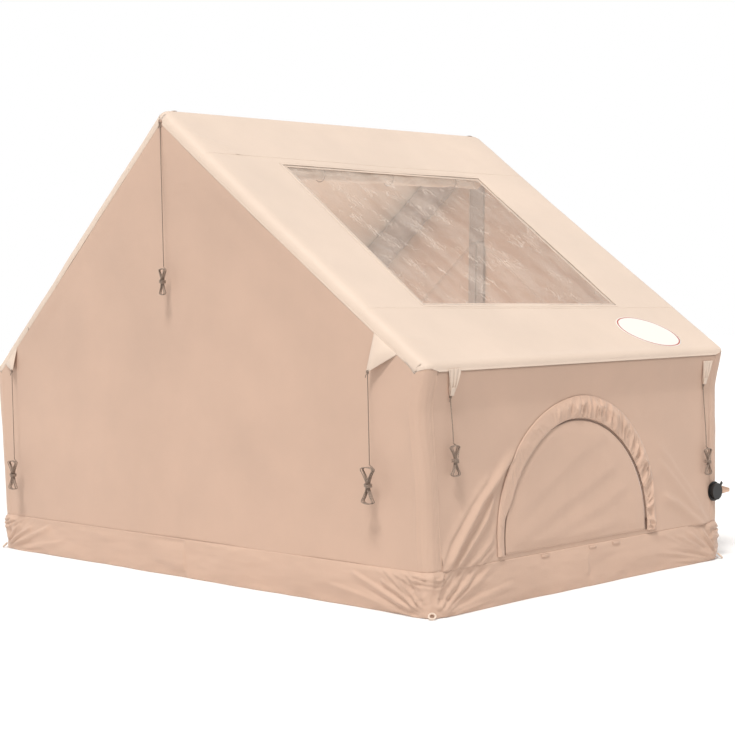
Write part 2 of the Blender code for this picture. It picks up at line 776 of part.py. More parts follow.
def add_peg_loops(skirt):
    """Webbing loops for the pegs, sewn to the four corners of the skirt."""
    station = wall_line(0.0)
    middle_x, middle_z = tube_middle(station)
    start = ARCH_RADIUS + GAP + CLOTH / 2
    for side in (1, -1):
        for end in (1, -1):
            out = unit((side, end, 0.0))
            across = np.array((-out[1], out[0], 0.0))
            centre = np.array((side * middle_x, end * (gable_y(middle_z) - TUBE_INSET), PEG_LOOP / 2))
            place = centre + out * (start + PEG_LOOP_LENGTH / 2)
            up = (0.0, 0.0, 1.0)
            sizes = (PEG_LOOP_LENGTH, PEG_LOOP_WIDTH, PEG_LOOP)
            loop = block("loop", place, (out, across, up), sizes, CLOTH_LOOK)
            profile = [(PEG_HOLE_RADIUS, -OVERRUN), (PEG_HOLE_RADIUS, OVERRUN)]
            cut(loop, turned("hole", place, up, profile, PEG_HOLE_SIDES, CLOTH_LOOK))
            fuse(skirt, loop)


def make_valve(wall):
    axis = np.array((1.0, 0.0, 0.0))
    disc_x = wall_line(VALVE_HEIGHT - DISC_RADIUS)(0.0)[0] + GAP
    origin = np.array((disc_x, gable_y(VALVE_HEIGHT) - VALVE_SETBACK, VALVE_HEIGHT))
    hole = [(BOSS_RADIUS + GAP, -BOSS_DEPTH), (BOSS_RADIUS + GAP, OVERRUN)]
    cut(wall, turned("hole", origin, axis, hole, VALVE_SIDES, CLOTH_LOOK))
    collar_top = DISC + COLLAR_HEIGHT
    profile = [
        (BORE_RADIUS, -BOSS_DEPTH), (BOSS_RADIUS, -BOSS_DEPTH), (BOSS_RADIUS, 0.0), (DISC_RADIUS, 0.0),
        (DISC_RADIUS, DISC), (COLLAR_RADIUS, DISC), (COLLAR_RADIUS, collar_top), (BORE_RADIUS, collar_top),
    ]
    body = turned("valve_body", origin, axis, profile, VALVE_SIDES, VALVE_LOOK, hollow=True)
    cut(body, arch_tube("arch_clearance", 1, GAP, VALVE_LOOK))
    towards_hinge = unit((0.0, -1.0, -1.0))
    sideways = np.cross(axis, towards_hinge)
    axes = (towards_hinge, sideways, axis)
    cap_radius = COLLAR_RADIUS + VALVE_RUNNING_GAP + CAP_WALL
    hinge_radius = COLLAR_RADIUS + EAR_REACH
    ear_low = DISC + EAR_LIFT
    lug_shift = EAR_WIDTH / 2 + GAP + LUG_WIDTH / 2
    lug_height = ear_low + EAR_HEIGHT - DISC / 2
    for sign in (1, -1):
        lug_middle = hinge_radius - LUG_REACH / 2 + EAR_END
        lug_place = origin + towards_hinge * lug_middle + sideways * (sign * lug_shift)
        lug_place = lug_place + axis * (DISC / 2 + lug_height / 2)
        fuse(body, block("lug", lug_place, axes, (LUG_REACH, LUG_WIDTH, lug_height), VALVE_LOOK))
    plunger_low = DISC - PLUNGER_SETBACK
    disc_top = plunger_low + PLUNGER_DISC
    plunger = [
        (BORE_RADIUS - VALVE_RUNNING_GAP, plunger_low), (BORE_RADIUS - VALVE_RUNNING_GAP, disc_top),
        (STEM_RADIUS, disc_top), (STEM_RADIUS, disc_top + STEM_LENGTH),
    ]
    turned("valve_plunger", origin, axis, plunger, VALVE_SIDES, VALVE_LOOK)
    cap_inner = COLLAR_RADIUS + VALVE_RUNNING_GAP
    cap_low = DISC + VALVE_RUNNING_GAP
    cap_roof = collar_top + GAP
    cap_profile = [
        (cap_inner, cap_roof), (cap_inner, cap_low), (cap_radius, cap_low), (cap_radius, cap_roof + CAP_TOP),
    ]
    cap = turned("valve_cap", origin, axis, cap_profile, VALVE_SIDES, VALVE_LOOK)
    ear_length = hinge_radius + EAR_END - (cap_radius - CAP_WALL / 2)
    ear_place = origin + towards_hinge * (hinge_radius + EAR_END - ear_length / 2)
    ear_place = ear_place + axis * (ear_low + EAR_HEIGHT / 2)
    fuse(cap, block("ear", ear_place, axes, (ear_length, EAR_WIDTH, EAR_HEIGHT), VALVE_LOOK))
    tongue_start = cap_radius - CAP_WALL / 2
    tongue_place = origin - towards_hinge * (tongue_start + TONGUE_LENGTH / 2)
    tongue_place = tongue_place + axis * (cap_roof + CAP_TOP / 2)
    fuse(cap, block("tongue", tongue_place, axes, (TONGUE_LENGTH, TONGUE_WIDTH, TONGUE), VALVE_LOOK))
    print("valve hinge", (origin + towards_hinge * hinge_radius + axis * (ear_low + EAR_HEIGHT / 2)).round(5))
    print("valve hinge axis", sideways.round(5))


def make_valve_flap():
    """Loose triangle of cloth beside the valve, sewn to the corner along a short upright edge."""
    station = wall_line(VALVE_HEIGHT)
    turn = math.pi / 2 * VALVE_FLAP_FACET_SHARE
    skin = ARCH_RADIUS + GAP + CLOTH
    foot = np.array(wrap_point(station, 0.0, skin, turn, 1))
    normal = unit((math.cos(turn), math.sin(turn), 0.0))
    foot = foot + normal * (GAP + VALVE_FLAP / 2)
    out = np.array((math.cos(VALVE_FLAP_ANGLE), math.sin(VALVE_FLAP_ANGLE), 0.0))
    face = Face(foot - np.array((0.0, 0.0, VALVE_FLAP_HEIGHT / 2)), out, (0.0, 0.0, 1.0), np.cross(out, (0.0, 0.0, 1.0)))
    tip = VALVE_FLAP_HEIGHT * VALVE_FLAP_TIP_SHARE
    middle = VALVE_FLAP_HEIGHT / 2
    outline = [
        (0.0, 0.0), (VALVE_FLAP_LENGTH, middle - tip / 2),
        (VALVE_FLAP_LENGTH, middle + tip / 2), (0.0, VALVE_FLAP_HEIGHT),
    ]
    plate("valve_flap", face, outline, -VALVE_FLAP / 2, VALVE_FLAP / 2, CLOTH_LOOK)
    print("valve flap edge", foot.round(5))


def rope_anchor(kind, sign, place, height):
    """Axis of a rope where it leaves its tab, and the directions out of and along the face."""
    if kind == "wall":
        x = wall_line(height)(0.0)[0] + GAP + TAB / 2
        return np.array((sign * x, place, height)), np.array((sign, 0.0, 0.0)), np.array((0.0, 1.0, 0.0))
    proud = EAR_OUT if kind == "gable" else GAP + TAB / 2
    drop = EAR / 3 if kind == "gable" else 0.0
    y = gable_y(height) + proud
    return np.array((place, sign * y, height - drop)), np.array((0.0, sign, 0.0)), np.array((1.0, 0.0, 0.0))


def wrap_depths(loops):
    """Middle and half the depth of the turns round a hank's waist, from the rope's axis."""
    low_layer = WAIST_BACK_SHARE * LAYER_PITCH
    high_layer = loops * LAYER_PITCH
    return (low_layer + high_layer) / 2, (high_layer - low_layer) / 2 + ROPE + WRAP_CLEAR_OUT


def hank_start(kind, sign, anchor, top, size):
    """Place where the rope enters its hank: straight below the tab, or clear of the wall."""
    start = np.array((anchor[0], anchor[1], top))
    if kind == "wall":
        height, width, loops = size
        centre, half_out = wrap_depths(loops)
        lowest = wall_line(top - height - LEAD)(0.0)[0]
        start[0] = sign * max(abs(anchor[0]), lowest + half_out - centre + ROPE / 2 + HANK_WALL_GAP)
    return start


def path_length(points):
    return round(float(sum(np.linalg.norm(b - a) for a, b in zip(points, points[1:]))), 3)


def smooth_step(share):
    share = min(max(share, 0.0), 1.0)
    return share * share * (3 - 2 * share)


def hanging_run(first, last):
    """Points at even steps down a rope that leaves and arrives upright."""
    count = max(2, round(float(first[2] - last[2]) / ROPE_STEP))
    points = []
    for step in range(count + 1):
        share = step / count
        across = smooth_step(share)
        x, y = first[:2] + (last[:2] - first[:2]) * across
        points.append(np.array((x, y, first[2] + (last[2] - first[2]) * share)))
    return points


def hank_loops(height, width, loops):
    """Loops drawn in at the waist, each a layer further out. The climb lies along the +across run.

    Points are (across, away from the face, up) from the place where the rope enters.
    """
    half_height = (height - ROPE) / 2
    half_width = (width - ROPE) / 2
    middle = -LEAD - half_height
    points = [(0.0, 0.0, 0.0), (0.0, 0.0, -ROPE)]
    halves = range(2 * loops + 1)
    angles = [half * math.pi + math.radians(angle) for half in halves for angle in HALF_LOOP_ANGLES]
    for angle in angles[1:len(angles) - LAST_ANGLES_LEFT_OFF]:
        turn = angle / (2 * math.pi)
        sway = 1 - HANK_SWAY_SHARE * math.cos(HANK_SWAY_RATE * turn)
        flare = FLARE_SHARE * math.sin(angle) * abs(math.cos(angle)) ** 3
        across = WAIST_HALF * math.sin(angle) + half_width * flare * sway
        whole = math.floor(turn)
        layer = whole + smooth_step((turn - whole - CLIMB_START_SHARE) / CLIMB_SHARE)
        up = middle + half_height * math.cos(angle)
        points.append((across, layer * LAYER_PITCH, up))
    return points


def hank_wraps(height, loops):
    """Turns round the waist, going down, from the front of the bundle."""
    middle = -LEAD - (height - ROPE) / 2
    centre, half_out = wrap_depths(loops)
    half_across = WAIST_HALF + ROPE + WRAP_CLEAR_ACROSS
    top = middle + WRAP_PITCH * WRAPS / 2
    points = []
    for step in range(WRAPS * WRAP_POINTS + 1):
        angle = 2 * math.pi * step / WRAP_POINTS
        across = math.copysign(abs(math.sin(angle)) ** WRAP_SQUARENESS, -math.sin(angle))
        away = math.copysign(abs(math.cos(angle)) ** WRAP_SQUARENESS, math.cos(angle))
        up = top - WRAP_PITCH * step / WRAP_POINTS
        points.append((half_across * across, centre + half_out * away, up))
    return points


def least_gap(points, diameter, skip):
    """Least clear distance between stretches of one rope that are not neighbours."""
    points = np.asarray(points)
    fine = []
    for first, second in zip(points, points[1:]):
        for i in range(6):
            fine.append(first + (second - first) * i / 6)
    fine = np.array(fine)
    run = np.concatenate(([0.0], np.cumsum(np.linalg.norm(np.diff(fine, axis=0), axis=1))))
    best = 1.0
    for i in range(len(fine)):
        far = run > run[i] + skip
        if far.any():
            best = min(best, float(np.linalg.norm(fine[far] - fine[i], axis=1).min()))
    return best - diameter


def rope_curve(name, points, resolution, look):
    curve = bpy.data.curves.new(name, "CURVE")
    curve.dimensions = "3D"
    curve.bevel_depth = ROPE / 2
    curve.bevel_resolution = resolution
    curve.use_fill_caps = True
    curve.resolution_u = 1
    curve.render_resolution_u = 1
    spline = curve.splines.new("POLY")
    spline.points.add(len(points) - 1)
    for target, point in zip(spline.points, points):
        target.co = (*point, 1.0)
    obj = bpy.data.objects.new(name, curve)
    bpy.context.scene.collection.objects.link(obj)
    curve.materials.append(material(*look))
    return obj


def sew_wall_tab(wall, side, place, height):
    """Cloth tab whose tip the rope hangs from, sewn to the wall by a patch behind the tip."""
    face = wall_face(side)
    half = TAB_TIP_WIDTH / 2
    shoulder = WALL_TAB_WIDTH / 2
    tip = height / face.up[2]
    top = tip + WALL_TAB_LENGTH
    outline = [(place - half, tip), (place + half, tip), (place + shoulder, top), (place - shoulder, top)]
    tab = plate("tab", face, outline, -GAP - TAB, -GAP, CLOTH_LOOK)
    patch = box_outline(place - half / 2, place + half / 2, tip + half, tip + TAB_SEAM)
    fuse(tab, plate("seam", face, patch, -GAP - TAB / 2, CLOTH / 2, CLOTH_LOOK))
    fuse(wall, tab)


def roof_line(rise):
    """Point on the roof at one distance up the slope from the eave."""
    def at(depth):
        return EAVE + ROOF_UP * rise + ROOF_IN * depth
    return at


def sew_ear(roof, end, place, height):
    """Corner flap sewn in the roof's hem. Its free tip, which the rope hangs from, stands out."""
    side = math.copysign(1.0, place)
    reach = ARCH_RADIUS + GAP + CLOTH / 2
    hem = []
    for out, facet in zip((abs(place), abs(place) + EAR_FLARE), EAR_FACETS):
        turn = quarter_turns()[facet]
        eave_x = wrap_point(roof_line(0.0), CLOTH / 2, reach, turn, end)[0]
        rise = (out - eave_x) / ROOF_UP[0]
        hem.append(wrap_point(roof_line(rise), CLOTH / 2, reach, turn, end))
    tip_y = end * (gable_y(height) + EAR_OUT)
    tips = [(abs(place) + shift, tip_y, height) for shift in (-TAB_TIP_WIDTH / 2, TAB_TIP_WIDTH / 2)]
    rows = [np.array(mirrored(hem, side)), np.array(mirrored(tips, side))]
    normal = unit(np.cross(rows[0][1] - rows[0][0], rows[1][0] - rows[0][0]))
    outer = [row + normal * EAR / 2 for row in rows]
    inner = [row - normal * EAR / 2 for row in rows]
    fuse(roof, shell("ear", outer, inner, CLOTH_LOOK))


def ridge_tab(name, end, height):
    """Webbing that is laid over the end of the ridge and hangs down in front of the gable."""
    station = ridge_bend(RIDGE_STEPS)
    skin = ARCH_RADIUS + GAP + CLOTH
    line = []
    for turn in quarter_turns()[:RIDGE_TAB_FACETS + 1]:
        x, y, z = wrap_point(station, 0.0, skin, turn, 1)
        out = np.array((math.sin(turn), math.cos(turn)))
        line.append((np.array((y, z)) + RIDGE_TAB_LIFT * out, out))
    hang = gable_y(height) + GAP
    for lift in (RIDGE_TAB_TAIL, 0.0):
        line.append((np.array((hang, height + lift)), np.array((1.0, 0.0))))
    half = RIDGE_TAB_WIDTH / 2
    skins = []
    for thickness in (TAB, 0.0):
        rows = []
        for place, out in line:
            y, z = place + thickness * out
            rows.append([(-half, end * y, z), (half, end * y, z)])
        skins.append(rows)
    shell(name, skins[0], skins[1], CLOTH_LOOK)


def rope_places(kind, place, tip, top):
    """Real place and heights of a rope from its shares."""
    spans = {"wall": BASE_DEPTH / 2, "gable": EAVE_WIDTH / 2, "ridge": 0.0}
    height = RIDGE_HEIGHT if kind == "ridge" else EAVE_HEIGHT
    return place * spans[kind], tip * height, top * height


def make_ropes(panels):
    for word, kind, sign, place_share, tip_share, top_share, size in ROPE_SHARES:
        place, height, top = rope_places(kind, place_share, tip_share, top_share)
        if kind == "wall":
            sew_wall_tab(panels["wall", sign], sign, place, height)
        elif kind == "gable":
            sew_ear(panels["roof", round(math.copysign(1, place))], sign, place, height)
        else:
            ridge_tab("ridge_tab_" + word.split("_")[0], sign, height)
        anchor, out, along = rope_anchor(kind, sign, place, height)
        start = hank_start(kind, sign, anchor, top, size)
        up = np.array((0.0, 0.0, 1.0))
        run = hanging_run(anchor - up * GAP, start + up * GAP)
        rope_curve("rope_" + word, run, 2, ROPE_LOOK)
        local = hank_loops(*size) + hank_wraps(size[0], size[2])
        spun = [start + along * a + out * o + up * u for a, o, u in local]
        rope_curve("hank_" + word, spun, 1, ROPE_LOOK)
        gap = least_gap(spun, ROPE, 3 * ROPE)
        lengths = [path_length(run), path_length(spun)]
        print("rope", word, "run and hank", lengths, "least gap in mm", round(gap * 1000, 2))


def main():
    clear_scene()
    make_air_frame()
    skirt = make_ground()
    panels = make_walls_and_roofs()
    make_gables()
    make_skylight(panels["roof", 1])
    for side, word in ((1, "right"), (-1, "left")):
        make_window(side, word, panels["wall", side])
    add_toggles(skirt)
    add_peg_loops(skirt)
    make_door()
    make_valve(panels["wall", 1])
    make_valve_flap()
    make_patch()
    make_ropes(panels)


main()
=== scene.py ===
"""Looks of the inflatable ridge tent: sewn cloth with its folds, air tubes, film, zips and guy ropes."""
import math

import bmesh
import bpy
import numpy as np
from mathutils import Matrix, Vector


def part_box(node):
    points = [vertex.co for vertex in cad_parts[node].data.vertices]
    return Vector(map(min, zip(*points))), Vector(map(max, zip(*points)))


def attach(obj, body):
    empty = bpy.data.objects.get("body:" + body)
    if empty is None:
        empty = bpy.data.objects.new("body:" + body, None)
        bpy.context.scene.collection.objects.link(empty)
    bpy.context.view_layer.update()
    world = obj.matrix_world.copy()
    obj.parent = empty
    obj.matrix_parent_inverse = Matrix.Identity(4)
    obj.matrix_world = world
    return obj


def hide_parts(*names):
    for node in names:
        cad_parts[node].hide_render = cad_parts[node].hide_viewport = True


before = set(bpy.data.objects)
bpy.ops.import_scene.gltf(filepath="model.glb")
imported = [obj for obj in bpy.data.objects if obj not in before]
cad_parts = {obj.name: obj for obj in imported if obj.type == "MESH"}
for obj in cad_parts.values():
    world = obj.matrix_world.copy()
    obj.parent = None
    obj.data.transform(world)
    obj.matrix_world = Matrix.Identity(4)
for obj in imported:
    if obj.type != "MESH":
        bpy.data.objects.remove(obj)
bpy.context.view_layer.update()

# Outer skin, as the construction has it
BASE_WIDTH = 3.03
EAVE_WIDTH = 3.00
EAVE_HEIGHT = 0.919
RIDGE_HEIGHT = 2.085
BASE_DEPTH = 1.91
GABLE_LEAN_SHARE = 0.0413
EAVE_BEND = 0.045
RIDGE_BEND = 0.042
INNER_BEND = 0.012
EAVE_STEPS = 4
RIDGE_STEPS = 3
SKIRT_HEIGHT = 0.176
CLOTH = 0.004
GAP = 0.0003
ARCH_RADIUS = 0.075
BEAM_RADIUS = 0.055
GROUND_SHEET = 0.005

# Sheets
SHEET = 0.0014
SHEET_CLEAR = 0.0006
HEM = 0.003
HEM_PROUD = 0.0028
CORNER_TUCK = 0.026

# How the filled tent stands out from its pattern near the eaves
SWELL_UP_RIGHT = 0.05
SWELL_UP_LEFT = 0.012
SWELL_RIGHT = 0.04
SWELL_LEFT = 0.004
SWELL_BLEND = 1.0
SWELL_START = 0.78
CORNER_POWER = 4

# Skylight, as (distance down the slope, Y) at its four corners
SKYLIGHT_CORNERS = {"top_rear": (0.421, -0.635), "top_front": (0.448, 0.638),
                    "low_rear": (1.517, -0.668), "low_front": (1.550, 0.573)}
SHADE_RADIUS = 0.035

# Mean slope of its two top corners, and mean length from there to its two low corners
SKYLIGHT_TOP = 0.4345
SKYLIGHT_LENGTH = 1.099

# Rows (down the slope) and columns (-1 to 1 along the roof) of the roof's grid that are drawn to its edges
SKY_ROWS = (0.42, 1.457)
SKY_COLUMNS = (-0.62, 0.66)
GRID_REACH = 0.95

# Roof seams, as distances down the slope at the rear and front ends
ROOF_SEAMS = ((0.358, 0.407), (1.520, 1.575))

# Side window
WINDOW_RADIUS = 0.46
WINDOW_SHIFT = -0.065
WINDOW_BOTTOM = 0.195
WINDOW_SPRING = 0.24
WINDOW_REBATE = 0.02
ZIP_WIDTH = 0.008
COVER = 0.003
NET_SETBACK = 0.001
TOGGLE_PLACES = (-0.22, 0.09, 0.25)
TOGGLE_LENGTH = 0.05
TOGGLE_WIDTH = 0.012
TOGGLE_DROP = 0.006

# Door
DOOR_HALF_WIDTH = 0.55
DOOR_SHOULDER = 1.12
DOOR_PEAK = 1.55
DOOR_BOTTOM = 0.182
DOOR_REBATE = 0.02
DOOR_BEND = 0.12
INNER_BAND_TOP = 1.86
INNER_BAND_WIDTH = 0.10

# Patch
PATCH_ALONG = 0.350
PATCH_DOWN = 0.212
PATCH_SLOPE_PLACE = 1.752
PATCH_Y = 0.575
PATCH_LEAN = math.radians(18)

# Tabs that the ropes hang from
TAB = 0.004
TAB_TIP_WIDTH = 0.014
WALL_TAB_WIDTH = 0.072
WALL_TAB_LENGTH = 0.072
EAR = 0.003
EAR_SPREAD = 0.115
EAR_OUT = 0.03
RIDGE_TAB_WIDTH = 0.026
RIDGE_TAB_TAIL = 0.014

# Guy ropes, as the construction routes them
ROPE = 0.004
ROPE_STEP = 0.012
LAYER_PITCH = 0.0048
WAIST_HALF = 0.0028
WAIST_BACK_SHARE = 0.35
WRAPS = 3
WRAP_POINTS = 7
WRAP_PITCH = 0.0048
WRAP_CLEAR_OUT = 0.0026
WRAP_CLEAR_ACROSS = 0.004
WRAP_SQUARENESS = 0.7
HALF_LOOP_ANGLES = (0, 26, 52, 79, 101, 128, 154)
LAST_ANGLES_LEFT_OFF = 4
FLARE_SHARE = 3.08
HANK_SWAY_SHARE = 0.14
HANK_SWAY_RATE = 2.3
CLIMB_START_SHARE = 0.08
CLIMB_SHARE = 0.34
LEAD = 0.012
HANK_WALL_GAP = 0.0012
SMALL_HANK = (0.122, 0.048, 3)
LARGE_HANK = (0.146, 0.060, 4)
RIDGE_HANK = (0.118, 0.040, 3)
ROPE_SHARES = (
    ("right_rear", "wall", 1, -0.869, 0.92, 0.71, SMALL_HANK),
    ("right_front", "wall", 1, 0.90, 0.88, 0.57, SMALL_HANK),
    ("left_rear", "wall", -1, -0.869, 0.92, 0.65, SMALL_HANK),
    ("left_front", "wall", -1, 0.90, 0.88, 0.61, SMALL_HANK),
    ("rear_right", "gable", -1, 0.841, 1.028, 0.637, LARGE_HANK),
    ("rear_left", "gable", -1, -0.867, 0.996, 0.517, LARGE_HANK),
    ("front_right", "gable", 1, 0.867, 0.996, 0.337, SMALL_HANK),
    ("front_left", "gable", 1, -0.841, 1.028, 0.609, LARGE_HANK),
    ("rear_ridge", "ridge", -1, 0.0, 0.968, 0.667, RIDGE_HANK),
    ("front_ridge", "ridge", 1, 0.0, 0.968, 0.892, RIDGE_HANK),
)

# Colours, as linear values
CLOTH_COLOR = (0.637, 0.438, 0.332)
# The roof's cloth gets a paler, less saturated colour than the rest of the cloth: painted highlight, standing
# in for the gloss on the sunlit roof.
ROOF_PAINTED_HIGHLIGHT_COLOR = (0.76, 0.61, 0.50)
# The air tubes' colour is darker and greyer than their own beige cloth: painted shade of the tubes, which are
# backlit inside the tent. The ground sheet and the inner band take it too.
TUBE_PAINTED_SHADE_COLOR = (0.345, 0.280, 0.255)
ROPE_COLOR = (0.33, 0.25, 0.20)
FILM_COLOR = (0.84, 0.72, 0.62)
ZIP_COLOR = (0.16, 0.09, 0.06)
TAPE_COLOR = (0.45, 0.30, 0.23)
NET_COLOR = (0.10, 0.08, 0.075)
PATCH_COLOR = (0.85, 0.82, 0.77)
RING_COLOR = (0.45, 0.10, 0.07)
BLACK = (0.012, 0.012, 0.012)

# Widths and heights of seams, tapes and bands
STRIP_SIZES = {
    "roof_seam": (0.010, 0.0009),
    "rake_seam": (0.007, 0.0008),
    "corner_seam": (0.0080, 0.0006),
    "welt": (0.013, 0.0012),
    "binding": (0.045, 0.0012),
    "door_tape": (ZIP_WIDTH, 0.0015),
    "window_tape": (ZIP_WIDTH, 0.0016),
    "inner_band": (INNER_BAND_WIDTH, 0.002),
    "half_band": (INNER_BAND_WIDTH / 2, 0.002),
    "toggle": (TOGGLE_WIDTH, 0.0018),
    "peg_webbing": (0.018, 0.0012),
    "tab_square": (0.021, 0.0016),
    "ridge_strap": (RIDGE_TAB_WIDTH * 0.9, 0.0022),
}

REAR = -1
FRONT = 1
ENDS = ((REAR, "rear"), (FRONT, "front"))
SIDES = ((1, "right"), (-1, "left"))
UP = np.array((0.0, 0.0, 1.0))
MIRROR_X = np.array((-1.0, 1.0, 1.0))
MIRROR_Y = np.array((1.0, -1.0, 1.0))


def unit(vector):
    vector = np.asarray(vector, float)
    return vector / np.linalg.norm(vector)


# The outline across the tent, on its +X half, as points (x, z)
FOOT = np.array((BASE_WIDTH / 2, 0.0))
EAVE = np.array((EAVE_WIDTH / 2, EAVE_HEIGHT))
RIDGE = np.array((0.0, RIDGE_HEIGHT))
WALL_UP = unit(EAVE - FOOT)
ROOF_UP = unit(RIDGE - EAVE)
WALL_IN = np.array((-WALL_UP[1], WALL_UP[0]))
ROOF_IN = np.array((-ROOF_UP[1], ROOF_UP[0]))
EAVE_TURN = math.acos(WALL_UP @ ROOF_UP)
RIDGE_HALF_TURN = math.acos(-ROOF_IN[1])
TUBE_NEAR = CLOTH + GAP
TUBE_FAR = TUBE_NEAR + 2 * ARCH_RADIUS
TUBE_INSET = TUBE_NEAR + ARCH_RADIUS
SKIN_REACH = ARCH_RADIUS + GAP + CLOTH


def turned_by(vector, angle):
    cosine = math.cos(angle)
    sine = math.sin(angle)
    return np.array((cosine * vector[0] - sine * vector[1], sine * vector[0] + cosine * vector[1]))


def wall_line(height):
    def at(depth):
        base = FOOT + WALL_IN * depth
        return base + WALL_UP * (height - base[1]) / WALL_UP[1]
    return at


def eave_corner(depth):
    return EAVE + (WALL_IN + ROOF_IN) * depth / (1 + math.cos(EAVE_TURN))


def eave_bend(step, lowered=0.0):
    def at(depth):
        radius = max(EAVE_BEND - depth, INNER_BEND)
        centre = eave_corner(depth + radius)
        out = turned_by(-WALL_IN, EAVE_TURN * step / EAVE_STEPS)
        return centre + radius * out - WALL_UP * lowered
    return at


def ridge_bend(step):
    def at(depth):
        radius = max(RIDGE_BEND - depth, INNER_BEND)
        centre = np.array((0.0, RIDGE_HEIGHT - (depth + radius) / math.cos(RIDGE_HALF_TURN)))
        out = turned_by(-ROOF_IN, RIDGE_HALF_TURN * step / RIDGE_STEPS)
        return centre + radius * out
    return at


def between(first, second, share):
    def at(depth):
        return first(depth) * (1 - share) + second(depth) * share
    return at


def tube_middle(station):
    return (station(TUBE_NEAR) + station(TUBE_FAR)) / 2


def gable_y(height):
    return BASE_DEPTH / 2 + GABLE_LEAN_SHARE * height


def slope_of(point):
    """Distance down the slope from the ridge's corner."""
    return float((point - RIDGE) @ -ROOF_UP)


def hoop_point(outer, middle, along, side):
    """Skin points. Along is the distance from the middle of the tent, measured on round the arches."""
    along = np.asarray(along, float)
    end = np.where(along < 0, -1.0, 1.0)
    flat = gable_y(outer[..., 1]) - TUBE_INSET
    turn = np.clip((np.abs(along) - flat) / SKIN_REACH, 0.0, None)
    square = (np.cos(turn) ** CORNER_POWER + np.sin(turn) ** CORNER_POWER) ** (-1 / CORNER_POWER)
    x = middle[..., 0] + square * np.cos(turn) * (outer[..., 0] - middle[..., 0])
    z = middle[..., 1] + square * np.cos(turn) * (outer[..., 1] - middle[..., 1])
    wrapped = end * (gable_y(z) - TUBE_INSET + SKIN_REACH * square * np.sin(turn))
    y = np.where(turn > 0, wrapped, along)
    return np.stack([side * x, y, z], -1)


def smooth(share):
    share = np.clip(share, 0.0, 1.0)
    return share * share * (3 - 2 * share)


def swell_share(height):
    """How much of the eaves' swelling reaches a height: all of it at the eaves, none at the ridge."""
    low = smooth((height - SWELL_START) / (EAVE_HEIGHT - SWELL_START))
    high = np.clip((RIDGE_HEIGHT - height) / (RIDGE_HEIGHT - EAVE_HEIGHT), 0, 1)
    return np.minimum(low, high)


def swell(points):
    """Moves points of the pattern to where they are on the filled tent."""
    points = np.array(points, float)
    share = swell_share(points[..., 2])
    reach = np.where(points[..., 0] > 0, SWELL_RIGHT, SWELL_LEFT)
    side = smooth((points[..., 0] / SWELL_BLEND + 1) / 2)
    points[..., 2] += (SWELL_UP_LEFT + (SWELL_UP_RIGHT - SWELL_UP_LEFT) * side) * share
    points[..., 0] += reach * share * points[..., 0] / (EAVE_WIDTH / 2)
    return points


def pattern_height(height, side):
    """Height on the pattern of a place at the eaves whose height on the filled tent is known."""
    found = height
    for _ in range(12):
        found = height - (SWELL_UP_RIGHT if side > 0 else SWELL_UP_LEFT) * float(swell_share(found))
    return found


class Face:
    """A flat face of the tent: across and up lie in it, and outward points away from the tent."""

    def __init__(self, origin, across, up, outward):
        self.origin = np.asarray(origin, float)
        self.across = unit(across)
        self.up = unit(up)
        self.outward = unit(outward)

    def point(self, across, up, lift=0.0):
        across = np.asarray(across, float)[..., None]
        up = np.asarray(up, float)[..., None]
        lift = np.asarray(lift, float)[..., None]
        return self.origin + self.across * across + self.up * up + self.outward * lift


def wall_face(side):
    up = (side * WALL_UP[0], 0.0, WALL_UP[1])
    return Face((side * FOOT[0], 0, 0), (0, 1, 0), up, (-side * WALL_IN[0], 0.0, -WALL_IN[1]))


def roof_face(side):
    up = (-side * ROOF_UP[0], 0.0, -ROOF_UP[1])
    return Face((0, 0, RIDGE_HEIGHT), (0, 1, 0), up, (-side * ROOF_IN[0], 0.0, -ROOF_IN[1]))


def gable_face(end):
    up = (0.0, end * GABLE_LEAN_SHARE, 1.0)
    return Face((0, end * BASE_DEPTH / 2, 0), (1, 0, 0), up, (0.0, end, -GABLE_LEAN_SHARE))


# Noise and folds
NOISE_CELLS = 64
NOISE_START = 1000.0

# Waves of each kind of cloth, as (height, size, seed, octaves)
WAVES = {
    "roof": (0.0022, 0.42, 11, 2),
    "roof_fine": (0.0005, 0.05, 21, 2),
    "film": (0.0030, 0.10, 51, 3),
    "shade": (0.0022, 0.06, 71, 3),
    "wall": (0.0016, 0.3, 31, 2),
    "wall_fine": (0.0004, 0.05, 41, 2),
    "gable": (0.0024, 0.5, 91, 2),
    "gable_fine": (0.0005, 0.06, 101, 2),
    "leaf": (0.0035, 0.22, 121, 3),
    "cover": (0.0014, 0.16, 141, 3),
    "arch": (0.0018, 0.05, 221, 2),
    "beam": (0.0015, 0.05, 231, 2),
    "floor": (0.0012, 0.25, 241, 3),
}


def noise_cell(place, size):
    """Noise cell that a place is in, the next one, and the place's eased share of the way between them."""
    place = np.asarray(place, float) / size + NOISE_START
    whole = np.floor(place).astype(int)
    part = place - whole
    part = part ** 3 * (part * (part * 6 - 15) + 10)
    return whole % NOISE_CELLS, (whole + 1) % NOISE_CELLS, part


def noise(a, b, size, seed):
    """Smooth noise from -1 to 1 whose bumps are about one size apart."""
    table = np.random.default_rng(seed).uniform(-1, 1, (NOISE_CELLS, NOISE_CELLS))
    low_a, high_a, part_a = noise_cell(a, size)
    low_b, high_b, part_b = noise_cell(b, size)
    low = table[low_a, low_b] * (1 - part_a) + table[high_a, low_b] * part_a
    high = table[low_a, high_b] * (1 - part_a) + table[high_a, high_b] * part_a
    return low * (1 - part_b) + high * part_b


def crumple(a, b, size, seed, octaves=3):
    total = 0.0
    for octave in range(octaves):
        total = total + noise(a, b, size / 2 ** octave, seed + octave) / 2 ** octave
    return total


def waves(a, b, kind, shift=0):
    """Waves of one kind of cloth. The shift gives each side or end its own."""
    tall, size, seed, octaves = WAVES[kind]
    return tall * crumple(a, b, size, seed + shift, octaves)


